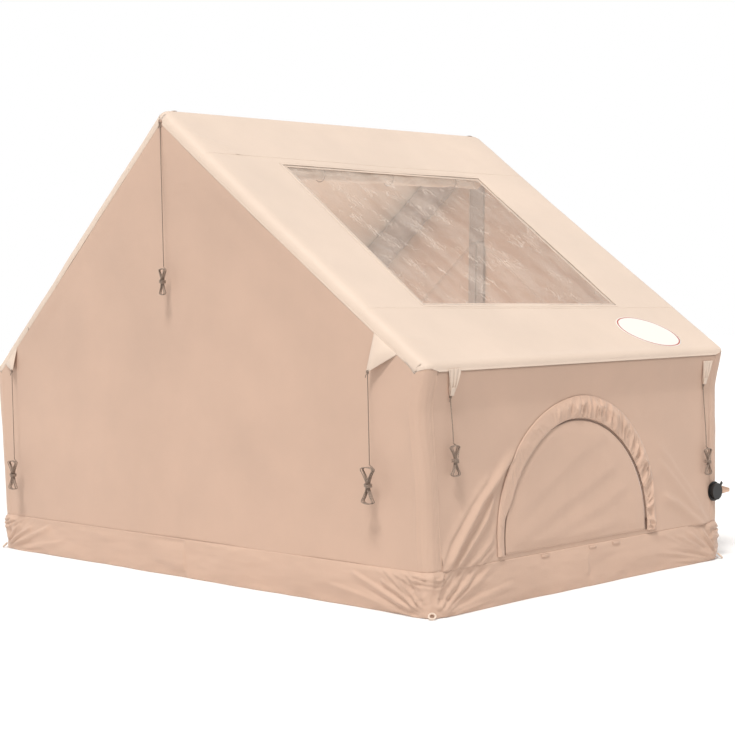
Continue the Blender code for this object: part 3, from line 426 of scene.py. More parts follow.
def fold(a, b, path, height, width, one_sided=0.45, fade=(0.15, 0.15)):
    """Raised fold along a line of points. Its steep side is on the right of the way along it."""
    best = np.full(np.shape(a), 1e9)
    place = np.zeros(np.shape(a))
    signed = np.zeros(np.shape(a))
    lengths = [math.dist(p, q) for p, q in zip(path, path[1:])]
    run = 0.0
    for (a0, b0), (a1, b1), length in zip(path, path[1:], lengths):
        share = np.clip(((a - a0) * (a1 - a0) + (b - b0) * (b1 - b0)) / length ** 2, 0, 1)
        away = np.hypot(a - a0 - share * (a1 - a0), b - b0 - share * (b1 - b0))
        hand = np.sign((a - a0) * (b1 - b0) - (b - b0) * (a1 - a0))
        nearer = away < best
        best = np.where(nearer, away, best)
        place = np.where(nearer, (run + share * length) / sum(lengths), place)
        signed = np.where(nearer, hand, signed)
        run += length
    reach = width * np.where(signed > 0, 1 - one_sided, 1 + one_sided)
    ends = smooth(place / fade[0]) * smooth((1 - place) / fade[1])
    return height * ends * np.exp(-(best / reach) ** 2)


# Materials
CLOTH_GRAIN = 0.06
WAVE_SCALE = 0.314


class Graph:
    """The nodes of a material or of the world. Feeds are values or other nodes' outputs, by input."""

    def __init__(self, owner):
        owner.use_nodes = True
        self.owner = owner
        self.tree = owner.node_tree

    def feed(self, node, feeds):
        for key, value in feeds.items():
            if isinstance(value, bpy.types.NodeSocket):
                self.tree.links.new(value, node.inputs[key])
            else:
                node.inputs[key].default_value = value

    def add(self, kind, output, feeds=None, **settings):
        """One output of a new node."""
        node = self.tree.nodes.new("ShaderNode" + kind)
        for name, value in settings.items():
            setattr(node, name, value)
        self.feed(node, feeds or {})
        return node.outputs[output]

    def place(self):
        return self.add("TexCoord", "Object")

    def cloth_map(self):
        return self.add("UVMap", "UV", uv_map="cloth")

    def turned(self, place, rotation, scale=(1.0, 1.0, 1.0)):
        return self.add("Mapping", "Vector", {"Vector": place, "Rotation": rotation, "Scale": scale})

    def noise(self, place, scale, detail, roughness=0.5, output="Fac"):
        feeds = {"Vector": place, "Scale": scale, "Detail": detail, "Roughness": roughness}
        return self.add("TexNoise", output, feeds)

    def wave(self, place, direction, size, **feeds):
        feeds.update({"Vector": place, "Scale": WAVE_SCALE / size})
        return self.add("TexWave", "Fac", feeds, wave_type="BANDS", bands_direction=direction)

    def ranged(self, value, low, high, to_low=0.0, to_high=1.0):
        feeds = {"Value": value, "From Min": low, "From Max": high, "To Min": to_low, "To Max": to_high}
        return self.add("MapRange", "Result", feeds)

    def combined(self, operation, first, second):
        return self.add("Math", 0, {0: first, 1: second}, operation=operation)

    def blended(self, factor, first, second, **settings):
        return self.add("Mix", 2, {"Factor": factor, 6: first, 7: second}, data_type="RGBA", **settings)

    def shades(self, factor, color, low, high):
        """From a darker to a lighter shade of a colour."""
        return self.blended(factor, *(shade_of(color, share) for share in (low, high)))

    def woven(self, operation, thread, **feeds):
        """Threads that run both ways along the cloth's map."""
        cloth = self.cloth_map()
        return self.combined(operation, *(self.wave(cloth, way, thread, **feeds) for way in ("X", "Y")))

    def bump(self, height, strength, distance, **feeds):
        feeds.update({"Height": height, "Strength": strength, "Distance": distance})
        return self.add("Bump", "Normal", feeds)

    def finished(self, feeds):
        self.feed(self.tree.nodes["Principled BSDF"], feeds)
        return self.owner


def new_look(name):
    return Graph(bpy.data.materials.new(name))


def shade_of(color, factor):
    return (*(min(1.0, value * factor) for value in color), 1)


def cloth_look(name, color, roughness=0.72, sheen=0.25, thread=0.0011, crease=0.0016):
    """Woven cloth: a fine weave along its UV map in metres, soft creases and slight changes of shade."""
    look = new_look(name)
    place = look.place()
    blotch = look.noise(place, 2.2, 4.0, 0.55)
    base = look.shades(look.ranged(blotch, 0.3, 0.7), color, 0.95, 1.05)
    weave = look.woven("MULTIPLY", thread, Distortion=0.25, Detail=1.0)
    soft = look.bump(look.noise(place, 26.0, 5.0, 0.6), 0.35, crease)
    return look.finished({
        "Base Color": look.blended(CLOTH_GRAIN, base, weave, blend_type="MULTIPLY"),
        "Roughness": look.ranged(blotch, 0.0, 1.0, roughness - 0.07, roughness + 0.07),
        "Sheen Weight": sheen,
        "Sheen Roughness": 0.4,
        "Normal": look.bump(weave, 0.4, 0.00025, Normal=soft),
    })


def film_look():
    """Clear soft film, with pale opaque streaks along its creases that are painted highlights."""
    look = new_look("clear_film")
    place = look.place()
    streaked = look.turned(place, (0.0, 0.6, 0.5), (1.0, 3.4, 1.0))
    opacity = look.ranged(look.noise(streaked, 3.0, 5.0, 0.6), 0.40, 0.70, 0.15, 0.27)
    # Thin pale lines along the creases, where the film is made more opaque: painted highlights of the creased
    # film.
    for scale, width in ((6.0, 0.016), (15.0, 0.030)):
        wander = look.noise(streaked, scale * 0.8, 3.0, output="Color")
        cells = {"Vector": look.blended(0.22, streaked, wander), "Scale": scale}
        edge = look.add("TexVoronoi", "Distance", cells, feature="DISTANCE_TO_EDGE")
        line = look.ranged(edge, 0.0, width, 1.0, 0.0)
        painted_highlight_breaks = look.ranged(look.noise(place, 9.0, 2.0), 0.5, 0.66, 0.0, 0.45)
        opacity = look.combined("ADD", opacity, look.combined("MULTIPLY", line, painted_highlight_breaks))
    return look.finished({
        "Alpha": opacity,
        "Base Color": (*FILM_COLOR, 1),
        "Roughness": 0.12,
        "Specular IOR Level": 0.32,
        "IOR": 1.5,
        "Normal": look.bump(look.noise(streaked, 34.0, 4.0, 0.6), 0.35, 0.002),
    })


def net_look():
    """Fine net, open between its threads."""
    look = new_look("window_net")
    return look.finished({
        "Alpha": look.ranged(look.woven("MAXIMUM", 0.0022), 0.55, 0.75, 0.25, 0.95),
        "Base Color": (*NET_COLOR, 1),
        "Roughness": 0.8,
    })


def plain_look(name, color, roughness, scale, depth, metallic=0.0):
    """Moulded or coated surface with a fine grain."""
    look = new_look(name)
    grain = look.noise(look.place(), scale, 3.0)
    return look.finished({
        "Base Color": look.shades(grain, color, 0.92, 1.08),
        "Roughness": roughness,
        "Metallic": metallic,
        "Normal": look.bump(grain, 0.4, depth),
    })


def rope_look():
    """Braided cord: two crossed sets of diagonal strands."""
    look = new_look("guy_rope")
    place = look.place()
    strands = [look.wave(look.turned(place, (tilt, tilt, 0.0)), "Z", 0.0016) for tilt in (0.7, -0.7)]
    braid = look.combined("MULTIPLY", *strands)
    return look.finished({
        "Base Color": look.shades(braid, ROPE_COLOR, 0.6, 1.8),
        "Roughness": 0.85,
        "Normal": look.bump(braid, 0.6, 0.0006),
    })


def patch_look():
    """White oval with a thin plain ring inside its edge."""
    look = new_look("bare_patch")
    length = look.add("VectorMath", "Value", {0: look.cloth_map()}, operation="LENGTH")
    color = look.add("ValToRGB", "Color", {"Fac": length})
    ramp = color.node.color_ramp
    ramp.interpolation = "CONSTANT"
    ramp.elements[0].color = (*PATCH_COLOR, 1)
    ramp.elements[1].position = 0.925
    ramp.elements[1].color = (*RING_COLOR, 1)
    ramp.elements.new(0.965).color = (*PATCH_COLOR, 1)
    grain = look.noise(look.place(), 600.0, 2.0)
    return look.finished({"Base Color": color, "Roughness": 0.55, "Normal": look.bump(grain, 0.3, 0.0003)})


LOOKS = {
    "cloth": cloth_look("sand_cloth", CLOTH_COLOR),
    # Paler roof colour: painted highlight of the sunlit roof's gloss.
    "roof_cloth": cloth_look("roof_cloth", ROOF_PAINTED_HIGHLIGHT_COLOR, roughness=0.62, sheen=0.2),
    # Dark tube colour: painted shade of the backlit tubes.
    "air_tube": cloth_look("tube_cloth_painted_shade", TUBE_PAINTED_SHADE_COLOR, roughness=0.6, sheen=0.1, crease=0.001),
    "tape": cloth_look("zip_tape", TAPE_COLOR, thread=0.0008),
    "rope": rope_look(),
    "film": film_look(),
    "net": net_look(),
    "zip": plain_look("zip_coil", ZIP_COLOR, 0.45, 900.0, 0.0003),
    "slider": plain_look("zip_slider", ZIP_COLOR, 0.35, 700.0, 0.0001, metallic=0.4),
    "valve": plain_look("valve_plastic", BLACK, 0.42, 1400.0, 0.00012),
    "patch": patch_look(),
}


# Building
TENT_MIDDLE = np.array((0.0, 0.0, EAVE_HEIGHT))
STRAND_BEVEL = 2
STRIP_SHARES = np.array((-1.0, -0.86, -0.4, 0.0, 0.4, 0.86, 1.0))
STRIP_LIFTS = np.array((0.0, 0.8, 1.0, 0.86, 1.0, 0.8, 0.0))
STRIP_SHEET = 0.0008

# A sheet's flat length is stretched, where needed, to hold its area with this share to spare
AREA_MARGIN = 1.001


def unit_rows(vectors):
    return vectors / np.linalg.norm(vectors, axis=-1, keepdims=True)


def run_along(path):
    """Distance along a path at each of its points."""
    return np.concatenate(([0.0], np.cumsum(np.linalg.norm(np.diff(path, axis=0), axis=1))))


def mixed(first, second, share):
    return first + (second - first) * share


def spread(low, high, rate):
    count = max(2, round(abs(high - low) / rate))
    return np.linspace(low, high, count + 1)


def stretched(knots, rates):
    """Even steps from knot to knot, each stretch at its own rate."""
    parts = [spread(low, high, rate)[:-1] for low, high, rate in zip(knots, knots[1:], rates)]
    return np.append(np.concatenate(parts), knots[-1])


def pairs(first, second):
    """Grid of pairs, such as a UV map in metres."""
    return np.stack(np.broadcast_arrays(first, second), -1)


def inner_faces(inside):
    """Faces of a grid whose four points are all inside."""
    return inside[:-1, :-1] & inside[:-1, 1:] & inside[1:, 1:] & inside[1:, :-1]


def outward_normals(points, centre):
    """Unit normals of a grid of points, turned away from one place."""
    normals = np.cross(np.gradient(points, axis=0), np.gradient(points, axis=1))
    size = np.linalg.norm(normals, axis=-1, keepdims=True)
    normals = normals / np.maximum(size, 1e-12)
    hand = np.sign(((points - centre) * normals).sum(-1).mean())
    return normals * hand


def grid_area(points, keep):
    first = np.cross(points[1:, :-1] - points[:-1, :-1], points[:-1, 1:] - points[:-1, :-1])
    second = np.cross(points[1:, :-1] - points[1:, 1:], points[:-1, 1:] - points[1:, 1:])
    areas = (np.linalg.norm(first, axis=-1) + np.linalg.norm(second, axis=-1)) / 2
    return float((areas.ravel() if keep is None else areas[keep]).sum())


def new_object(name, data):
    obj = bpy.data.objects.new(name, data)
    bpy.context.scene.collection.objects.link(obj)
    return obj


def grid_object(name, points, uv, look, keep=None, thickness=SHEET, centre=TENT_MIDDLE, closed=False,
                swollen=True):
    """Mesh of a grid of points, made a thin sheet by a Solidify modifier."""
    if swollen:
        points = swell(points)
    rows, columns = points.shape[:2]
    index = np.arange(rows * columns).reshape(rows, columns)
    if closed:
        index = np.concatenate([index, index[:, :1]], axis=1)
    quads = np.stack([index[:-1, :-1], index[:-1, 1:], index[1:, 1:], index[1:, :-1]], -1)
    quads = quads.reshape(-1, 4) if keep is None else quads[keep]
    flat = points.reshape(-1, 3)
    middle = flat[quads].mean(1)
    normal = np.cross(flat[quads[:, 1]] - flat[quads[:, 0]], flat[quads[:, 3]] - flat[quads[:, 0]])
    if ((middle - centre) * normal).sum() < 0:
        quads = quads[:, ::-1]
    used, renamed = np.unique(quads, return_inverse=True)
    mesh = bpy.data.meshes.new(name)
    mesh.from_pydata(flat[used].tolist(), [], renamed.reshape(-1, 4).tolist())
    layer = mesh.uv_layers.new(name="cloth")
    corners = np.zeros(len(mesh.loops), np.int32)
    mesh.loops.foreach_get("vertex_index", corners)
    layer.data.foreach_set("uv", uv.reshape(-1, 2)[used][corners].astype(np.float32).ravel())
    mesh.shade_smooth()
    mesh.materials.append(LOOKS[look])
    obj = new_object(name, mesh)
    if thickness:
        solid = obj.modifiers.new("thickness", "SOLIDIFY")
        solid.thickness = thickness
        solid.offset = -1
    return obj


def settle(obj, body="tent", replaces=()):
    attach(obj, body)
    if replaces:
        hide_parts(*replaces)
    return obj


def cloth_piece(name, points, uv, look, lift=None, keep=None, body="tent", replaces=(),
                centre=TENT_MIDDLE, thickness=SHEET, swollen=True):
    """One cut of cloth. The size it has before its folds is worked out, but nothing uses it."""
    shaped = points
    if lift is not None:
        shaped = points + outward_normals(points, centre) * lift[..., None]
    obj = grid_object(name, shaped, uv, look, keep, thickness, centre, swollen=swollen)
    settle(obj, body, replaces)
    area = grid_area(points, keep)
    width, length = (float(np.ptp(uv[..., axis])) for axis in (0, 1))
    if area > width * length:
        length = area / width * AREA_MARGIN
    return obj


def tube_along(name, path, radius, look, body="tent", replaces=(), swollen=True):
    """Round strand along a line of points, as a curve."""
    if swollen:
        path = swell(path)
    curve = bpy.data.curves.new(name, "CURVE")
    curve.dimensions = "3D"
    curve.bevel_depth = radius
    curve.bevel_resolution = STRAND_BEVEL
    curve.use_fill_caps = True
    curve.resolution_u = 1
    curve.render_resolution_u = 1
    spline = curve.splines.new("POLY")
    spline.points.add(len(path) - 1)
    for target, point in zip(spline.points, path):
        target.co = (*(float(value) for value in point), 1.0)
    curve.materials.append(LOOKS[look])
    return settle(new_object(name, curve), body, replaces)


def strip(name, path, normals, kind, look, body="tent", replaces=()):
    """Flat-felled seam or tape: a low rounded band along a line, with one normal or one for each point."""
    width, height = STRIP_SIZES[kind]
    path = np.asarray(path, float)
    normals = np.broadcast_to(np.asarray(normals, float), path.shape)
    across = unit_rows(np.cross(np.gradient(path, axis=0), normals))
    places = STRIP_SHARES * width / 2
    points = path[:, None] + across[:, None] * places[:, None]
    points = points + normals[:, None] * (STRIP_LIFTS * height)[:, None]
    uv = pairs(run_along(path)[:, None], places)
    obj = grid_object(name, points, uv, look, None, STRIP_SHEET, path.mean(0) - normals.mean(0))
    return settle(obj, body, replaces)


# Seams round the arches: the gable's cloth meets the roof's on its own side, and the wall's at the wall
ROOF_SEAM_TURN = math.radians(73)
WALL_SEAM_TURN = math.radians(5)
EAVE_SLOPE = slope_of(eave_bend(EAVE_STEPS)(0.0))
RIDGE_SLOPE = slope_of(ridge_bend(0)(0.0))
FLAT_RATE = 0.016
SURFACE_STEP = 0.002

# Stations round the eave, from the wall's plane to the roof's, and round the ridge, up to its top
BEND_ROWS = 8
EAVE_BENDS = [eave_bend(EAVE_STEPS * i / BEND_ROWS) for i in range(BEND_ROWS + 1)]
RIDGE_BENDS = [ridge_bend(RIDGE_STEPS * i / BEND_ROWS) for i in range(BEND_ROWS + 1)]


def outer_points(stations):
    return np.array([station(0.0) for station in stations])


def middle_points(stations):
    return np.array([tube_middle(station) for station in stations])


def roof_station(share):
    """Station on the roof whose tube middle runs evenly from the eave's bend up to the ridge's."""
    return between(EAVE_BENDS[-1], RIDGE_BENDS[0], share)


# The skin round the eave by distance down the slope, for what is laid on the roof
EAVE_TABLE_STEPS = 40
EAVE_TABLE = [eave_bend(EAVE_STEPS * (1 - i / EAVE_TABLE_STEPS)) for i in range(EAVE_TABLE_STEPS + 1)]
EAVE_OUTER = outer_points(EAVE_TABLE)
EAVE_MIDDLE = middle_points(EAVE_TABLE)
EAVE_PLACES = EAVE_SLOPE + run_along(EAVE_OUTER)


def on_bend(slope, table):
    return np.stack([np.interp(slope, EAVE_PLACES, table[:, axis]) for axis in (0, 1)], -1)


def roof_point(along, slope, side):
    """Points on the bare roof, also where it wraps the arches and bends down at the eave."""
    slope = np.asarray(slope, float)
    outer = RIDGE - ROOF_UP * slope[..., None]
    middle = outer + ROOF_IN * TUBE_INSET
    past = (slope > EAVE_SLOPE)[..., None]
    outer = np.where(past, on_bend(slope, EAVE_OUTER), outer)
    middle = np.where(past, on_bend(slope, EAVE_MIDDLE), middle)
    return hoop_point(outer, middle, along, side)


def on_roof(along, slope, side, lift):
    """Points over the roof's cloth with its waves, and their normals."""
    along, slope = np.broadcast_arrays(np.asarray(along, float), np.asarray(slope, float))
    base = roof_point(along, slope, side)
    ahead = roof_point(along + SURFACE_STEP, slope, side) - base
    down = roof_point(along, slope + SURFACE_STEP, side) - base
    normal = unit_rows(np.cross(ahead, down))
    normal = normal * np.sign(normal[..., 2:])
    raised = roof_bumps(along, slope, side) + lift
    return base + normal * raised[..., None], normal


# Short folds at the right roof's rear edge, as (Y, distance down the slope)
RAKE_FOLDS = (((-1.0, 0.20), (-0.84, 0.31)), ((-1.0, 0.27), (-0.82, 0.37)), ((-0.99, 1.70), (-0.86, 1.76)))


def roof_bumps(along, slope, side):
    """Height of the roof's waves over its plane."""
    broad = waves(along, slope, "roof", side)
    sag = -0.004 * np.cos(np.clip(along, -1, 1) * math.pi / 2)
    fine = waves(along * 0.6, slope, "roof_fine", side)
    rake = 0.0
    for path in RAKE_FOLDS if side > 0 else ():
        rake = rake + fold(along, slope, path, 0.004, 0.009, 0.2)
    edge = smooth((slope - RIDGE_SLOPE) / 0.12) * smooth((EAVE_SLOPE - slope) / 0.05 + 0.2)
    return (broad + sag + fine + rake) * edge


def skylight_edges(along, slope):
    """Slopes of the top and low edges at one Y, and Y of the rear and front edges at one slope."""
    top_rear, top_front, low_rear, low_front = SKYLIGHT_CORNERS.values()
    share = np.clip((along + 0.6) / 1.25, 0, 1)
    top = mixed(top_rear[0], top_front[0], share)
    low = mixed(low_rear[0], low_front[0], share)
    share = np.clip((slope - SKYLIGHT_TOP) / SKYLIGHT_LENGTH, 0, 1)
    return top, low, mixed(top_rear[1], low_rear[1], share), mixed(top_front[1], low_front[1], share)


def piecewise(value, knots, targets):
    """Linear interpolation through knots whose targets are arrays."""
    result = np.zeros(np.broadcast(value, *targets).shape)
    for (k0, k1), (t0, t1) in zip(zip(knots, knots[1:]), zip(targets, targets[1:])):
        share = np.clip((value - k0) / (k1 - k0), 0, 1)
        result = np.where((value >= k0) & (value <= k1), t0 + (t1 - t0) * share, result)
    return result


def between_lines(values, ends):
    """Whether each step of a grid lies between two of its lines."""
    return (values[:-1] >= ends[0] - 1e-9) & (values[1:] <= ends[1] + 1e-9)


def roof_grid(side):
    """Grid over one roof, from the ridge to the hem. The skylight's edges lie on grid lines."""
    columns = stretched((-2, -1, *SKY_COLUMNS, 1, 2), (0.1, 0.018, 0.018, 0.018, 0.1))
    rows = stretched((RIDGE_SLOPE, *SKY_ROWS, EAVE_SLOPE), (FLAT_RATE,) * 3)
    flat_columns = np.clip(columns, -1, 1)
    flat_row, flat_column = np.meshgrid(rows, flat_columns, indexing="ij")
    top, low, rear, front = skylight_edges(flat_column * GRID_REACH, flat_row)
    ends = (np.full_like(top, RIDGE_SLOPE), np.full_like(top, EAVE_SLOPE))
    slope = piecewise(flat_row, (RIDGE_SLOPE, *SKY_ROWS, EAVE_SLOPE), (ends[0], top, low, ends[1]))
    top_rows = RIDGE_BENDS[:0:-1]
    low_rows = EAVE_BENDS[-2::-1]
    low_rows = low_rows + [eave_bend(0, lowered=HEM * share) for share in (0.35, 0.7, 1.0)]

    def joined(at, flat):
        over, under = (np.repeat(at(rows)[:, None], len(columns), axis=1) for rows in (top_rows, low_rows))
        return np.concatenate([over, flat, under])

    flat_outer = RIDGE - ROOF_UP * slope[..., None]
    outer = joined(outer_points, flat_outer)
    middle = joined(middle_points, flat_outer + ROOF_IN * TUBE_INSET)
    place = ((outer - RIDGE) * -ROOF_UP).sum(-1)
    flat = gable_y(outer[..., 1]) - TUBE_INSET
    top, low, rear, front = skylight_edges(flat_columns * GRID_REACH, place)
    along = piecewise(flat_columns[None], (-1, *SKY_COLUMNS, 1), (-flat, rear, front, flat))
    past = np.clip(np.abs(columns) - 1, 0, 1)[None]
    along = along + np.sign(columns)[None] * past * SKIN_REACH * ROOF_SEAM_TURN
    points = hoop_point(outer, middle, along, side)
    hem = np.zeros(len(outer))
    hem[-len(low_rows) + BEND_ROWS:] = HEM_PROUD
    hem[-4] = HEM_PROUD / 2
    hem = hem[:, None] * (1 - past)
    low_share = np.zeros(len(outer))
    low_share[-len(low_rows):] = np.linspace(0, 1, len(low_rows))
    points[..., 2] += CORNER_TUCK * low_share[:, None] * past
    uv = pairs(along, run_along(outer[:, 0])[:, None])
    hole_rows = between_lines(rows, SKY_ROWS)
    hole_rows = np.concatenate([np.zeros(BEND_ROWS, bool), hole_rows, np.zeros(len(low_rows), bool)])
    hole = hole_rows[:, None] & between_lines(columns, SKY_COLUMNS)[None]
    return points, along, place, uv, hem, hole


def make_roof(side, word):
    points, along, place, uv, hem, hole = roof_grid(side)
    lift = roof_bumps(along, place, side) + hem + SHEET_CLEAR
    keep = ~hole if side > 0 else np.ones_like(hole)
    cloth_piece("roof_cloth_" + word, points, uv, "roof_cloth", lift, keep, replaces=["roof_" + word])
    for number, (rear, front) in enumerate(ROOF_SEAMS):
        height = RIDGE_HEIGHT - rear * ROOF_UP[1]
        reach = float(gable_y(height)) - TUBE_INSET + SKIN_REACH * ROOF_SEAM_TURN
        across = spread(-reach, reach, 0.016)
        down = rear + (front - rear) * (across + 1) / 2
        path, normals = on_roof(across, down, side, SHEET_CLEAR)
        strip(f"roof_seam_{word}_{number + 1}", path, normals, "roof_seam", "roof_cloth")
    for end, name in ENDS:
        slope = spread(RIDGE_SLOPE, EAVE_SLOPE - 0.06, 0.03)
        flat = gable_y(RIDGE_HEIGHT - slope * ROOF_UP[1]) - TUBE_INSET
        along = end * (flat + SKIN_REACH * (ROOF_SEAM_TURN - 0.05))
        path, normals = on_roof(along, slope, side, SHEET_CLEAR)
        strip(f"rake_seam_{word}_{name}", path, normals, "rake_seam", "roof_cloth")


# The film's thickness and its slack below the roof's plane, and the depth of the binding under the roof
FILM_SHEET = 0.0005
FILM_SLACK = 0.006
BINDING_DEPTH = 0.0048


def make_skylight():
    """Wrinkled clear film in the roof, its welt, the inner binding and the rolled shade."""
    face = roof_face(1)
    corner = SKYLIGHT_CORNERS
    rows, columns = np.meshgrid(spread(0, 1, 0.008), spread(0, 1, 0.007), indexing="ij")
    down = (1 - rows) * (corner["top_rear"][0] * (1 - columns) + corner["top_front"][0] * columns)
    down = down + rows * (corner["low_rear"][0] * (1 - columns) + corner["low_front"][0] * columns)
    across = (1 - columns) * (corner["top_rear"][1] * (1 - rows) + corner["low_rear"][1] * rows)
    across = across + columns * (corner["top_front"][1] * (1 - rows) + corner["low_front"][1] * rows)
    edge = np.minimum(np.minimum(rows, 1 - rows), np.minimum(columns, 1 - columns))
    tilt = across * 0.8 + down * 0.6
    cross = across * -0.6 + down * 0.8
    wrinkle = waves(tilt * 0.35, cross, "film")
    wrinkle = wrinkle + 0.0016 * (1 - np.abs(crumple(tilt, cross * 0.5, 0.07, 61, 3))) ** 3
    lift = roof_bumps(across, down, 1) + smooth(edge / 0.05) * (wrinkle - FILM_SLACK) - 0.0004
    points = face.point(across, down, lift)
    film = grid_object("skylight_film_sheet", points, pairs(across, down), "film", None, FILM_SHEET)
    settle(film, replaces=["skylight_film"])
    names = ("top_rear", "top_front", "low_front", "low_rear", "top_rear")
    corners = [np.array(corner[name]) for name in names]
    loop = []
    for start, stop in zip(corners, corners[1:]):
        loop += [mixed(start, stop, share) for share in spread(0, 1, 0.02)[:-1]]
    slope, along = np.array(loop + loop[:1]).T
    path = face.point(along, slope, roof_bumps(along, slope, 1) + SHEET_CLEAR)
    strip("skylight_welt", path, face.outward, "welt", "roof_cloth")
    inner = face.point(along, slope, -BINDING_DEPTH)
    strip("skylight_binding_cloth", inner, -face.outward, "binding", "roof_cloth",
          replaces=["skylight_binding"])
    make_shade()


SHADE_ROLLS = 2.6
SHADE_TIES = (0.16, 0.5, 0.84)
TIE_RADIUS = 0.0018


def make_shade():
    """Cloth shade rolled up under the top edge of the skylight, held by three ties."""
    low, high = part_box("shade_roll")
    centre_x = (low.x + high.x) / 2
    centre_z = (low.z + high.z) / 2
    turns = spread(0, 2 * math.pi * SHADE_ROLLS, 0.26)
    y, turn = np.meshgrid(spread(low.y, high.y, 0.012), turns, indexing="ij")
    ties = np.array([low.y + 0.01 + (high.y - low.y) * share for share in SHADE_TIES])
    pinch = sum(np.exp(-((y - tie) / 0.035) ** 2) for tie in ties)
    radius = SHADE_RADIUS * (0.55 + 0.45 * turn / turns[-1]) * (1 - 0.16 * pinch)
    radius = radius + waves(y * 0.35, turn * 0.03, "shade") - 0.0025
    points = np.stack([centre_x + radius * np.cos(turn), y, centre_z + radius * np.sin(turn)], -1)
    roll = grid_object("shade_roll_cloth", points, pairs(y, turn * SHADE_RADIUS), "roof_cloth", None, 0.0009)
    settle(roll, replaces=["shade_roll"])
    reach = SHADE_RADIUS * 0.9
    for number, tie in enumerate(ties):
        loop = []
        for angle in spread(0, 2 * math.pi * 1.02, 0.25):
            x = centre_x + reach * math.cos(angle + 1.9)
            z = centre_z + reach * math.sin(angle + 1.9)
            loop.append((x, tie + 0.002 * angle, z))
        tube_along(f"shade_tie_{number + 1}", loop, TIE_RADIUS, "rope")


# Folds of the side wall, as points (Y, height) with each fold's height and width
WALL_FOLDS = (
    ([(-0.89, 0.14), (-0.80, 0.26), (-0.66, 0.42), (-0.50, 0.55), (-0.38, 0.62)], 0.021, 0.016),
    ([(-0.92, 0.15), (-0.84, 0.29), (-0.72, 0.42), (-0.58, 0.54)], 0.006, 0.012),
    ([(-0.84, 0.15), (-0.73, 0.25), (-0.63, 0.35), (-0.57, 0.46)], 0.014, 0.011),
    ([(-0.79, 0.15), (-0.68, 0.20), (-0.60, 0.26), (-0.565, 0.34)], 0.008, 0.010),
    ([(-0.70, 0.16), (-0.63, 0.20), (-0.575, 0.23)], 0.006, 0.009),
    ([(0.90, 0.13), (0.78, 0.20), (0.64, 0.29), (0.52, 0.34)], 0.009, 0.022),
    ([(0.90, 0.16), (0.76, 0.27), (0.62, 0.40), (0.50, 0.50)], 0.006, 0.024),
    ([(0.86, 0.20), (0.72, 0.36), (0.58, 0.50), (0.48, 0.58)], 0.004, 0.022),
)
# Upright folds round a corner, as (turn round its arch, height, width)
CORNER_FOLDS = ((0.28, 0.0030, 0.07), (0.52, 0.0034, 0.06), (0.78, 0.0046, 0.055), (1.0, 0.0044, 0.050),
                (1.25, 0.0034, 0.08))


def all_folds(across, up, folds, **shape):
    """Sum of a table of folds."""
    total = 0.0
    for path, tall, width in folds:
        total = total + fold(across, up, path, tall, width, **shape)
    return total


def wall_bumps(along, height, side):
    """Height of the side wall's folds. They run from its lower corners up to the window."""
    broad = waves(along, height, "wall", side)
    fine = waves(along, height * 0.6, "wall_fine", side)
    radius = np.hypot(along - WINDOW_SHIFT, np.maximum(height - WINDOW_SPRING, 0))
    calm = smooth((radius - WINDOW_RADIUS - 0.035) / 0.07)
    return (broad + fine + all_folds(along, height, WALL_FOLDS)) * calm


def corner_folds(turn, height, seed):
    """Upright tension folds round a corner's arch."""
    wander = 0.07 * noise(height, height * 0.0, 0.25, seed)
    total = 0.0
    for place, tall, width in CORNER_FOLDS:
        strength = 0.65 + 0.35 * noise(height, place + height * 0.0, 0.18, seed + 3)
        total = total + tall * strength * np.exp(-((turn - place - wander) / width) ** 2)
    return total


def window_distance(along, height, radius):
    """Signed distance from the window's round-topped line, below zero inside."""
    away = np.abs(along - WINDOW_SHIFT)
    rise = height - WINDOW_SPRING
    return np.where(rise > 0, np.hypot(away, rise) - radius, away - radius)


WALL_TOP = float(eave_bend(0)(0.0)[1])
WALL_RATE = 0.0085
SNAP_SHARE = 0.55
CLOTH_BACK = 0.0002
CORNER_SEED = 81


def wall_station(height):
    """Station on the wall whose tube middle runs evenly from the foot up to the eave's bend."""
    return between(wall_line(0.0), eave_bend(0), height / WALL_TOP)


def wall_lines(height):
    """Outer points and tube middles for an array of heights on the wall."""
    share = (np.asarray(height, float) / WALL_TOP)[..., None]
    low = wall_line(0.0)
    top = eave_bend(0)
    return mixed(low(0.0), top(0.0), share), mixed(tube_middle(low), tube_middle(top), share)


def make_corner_seams(side, word):
    """Seams where the wall's cloth meets the gables'."""
    for end, name in ENDS:
        height = spread(SKIRT_HEIGHT, WALL_TOP - 0.01, 0.02)
        outer, middle = wall_lines(height)
        along = end * (gable_y(height) - TUBE_INSET + SKIN_REACH * (WALL_SEAM_TURN + 0.02))
        normal = unit((side, end * 0.1, 0.0))
        path = hoop_point(outer, middle, along, side) + normal * CLOTH_BACK
        strip(f"corner_seam_{word}_{name}", path, normal, "corner_seam", "cloth")


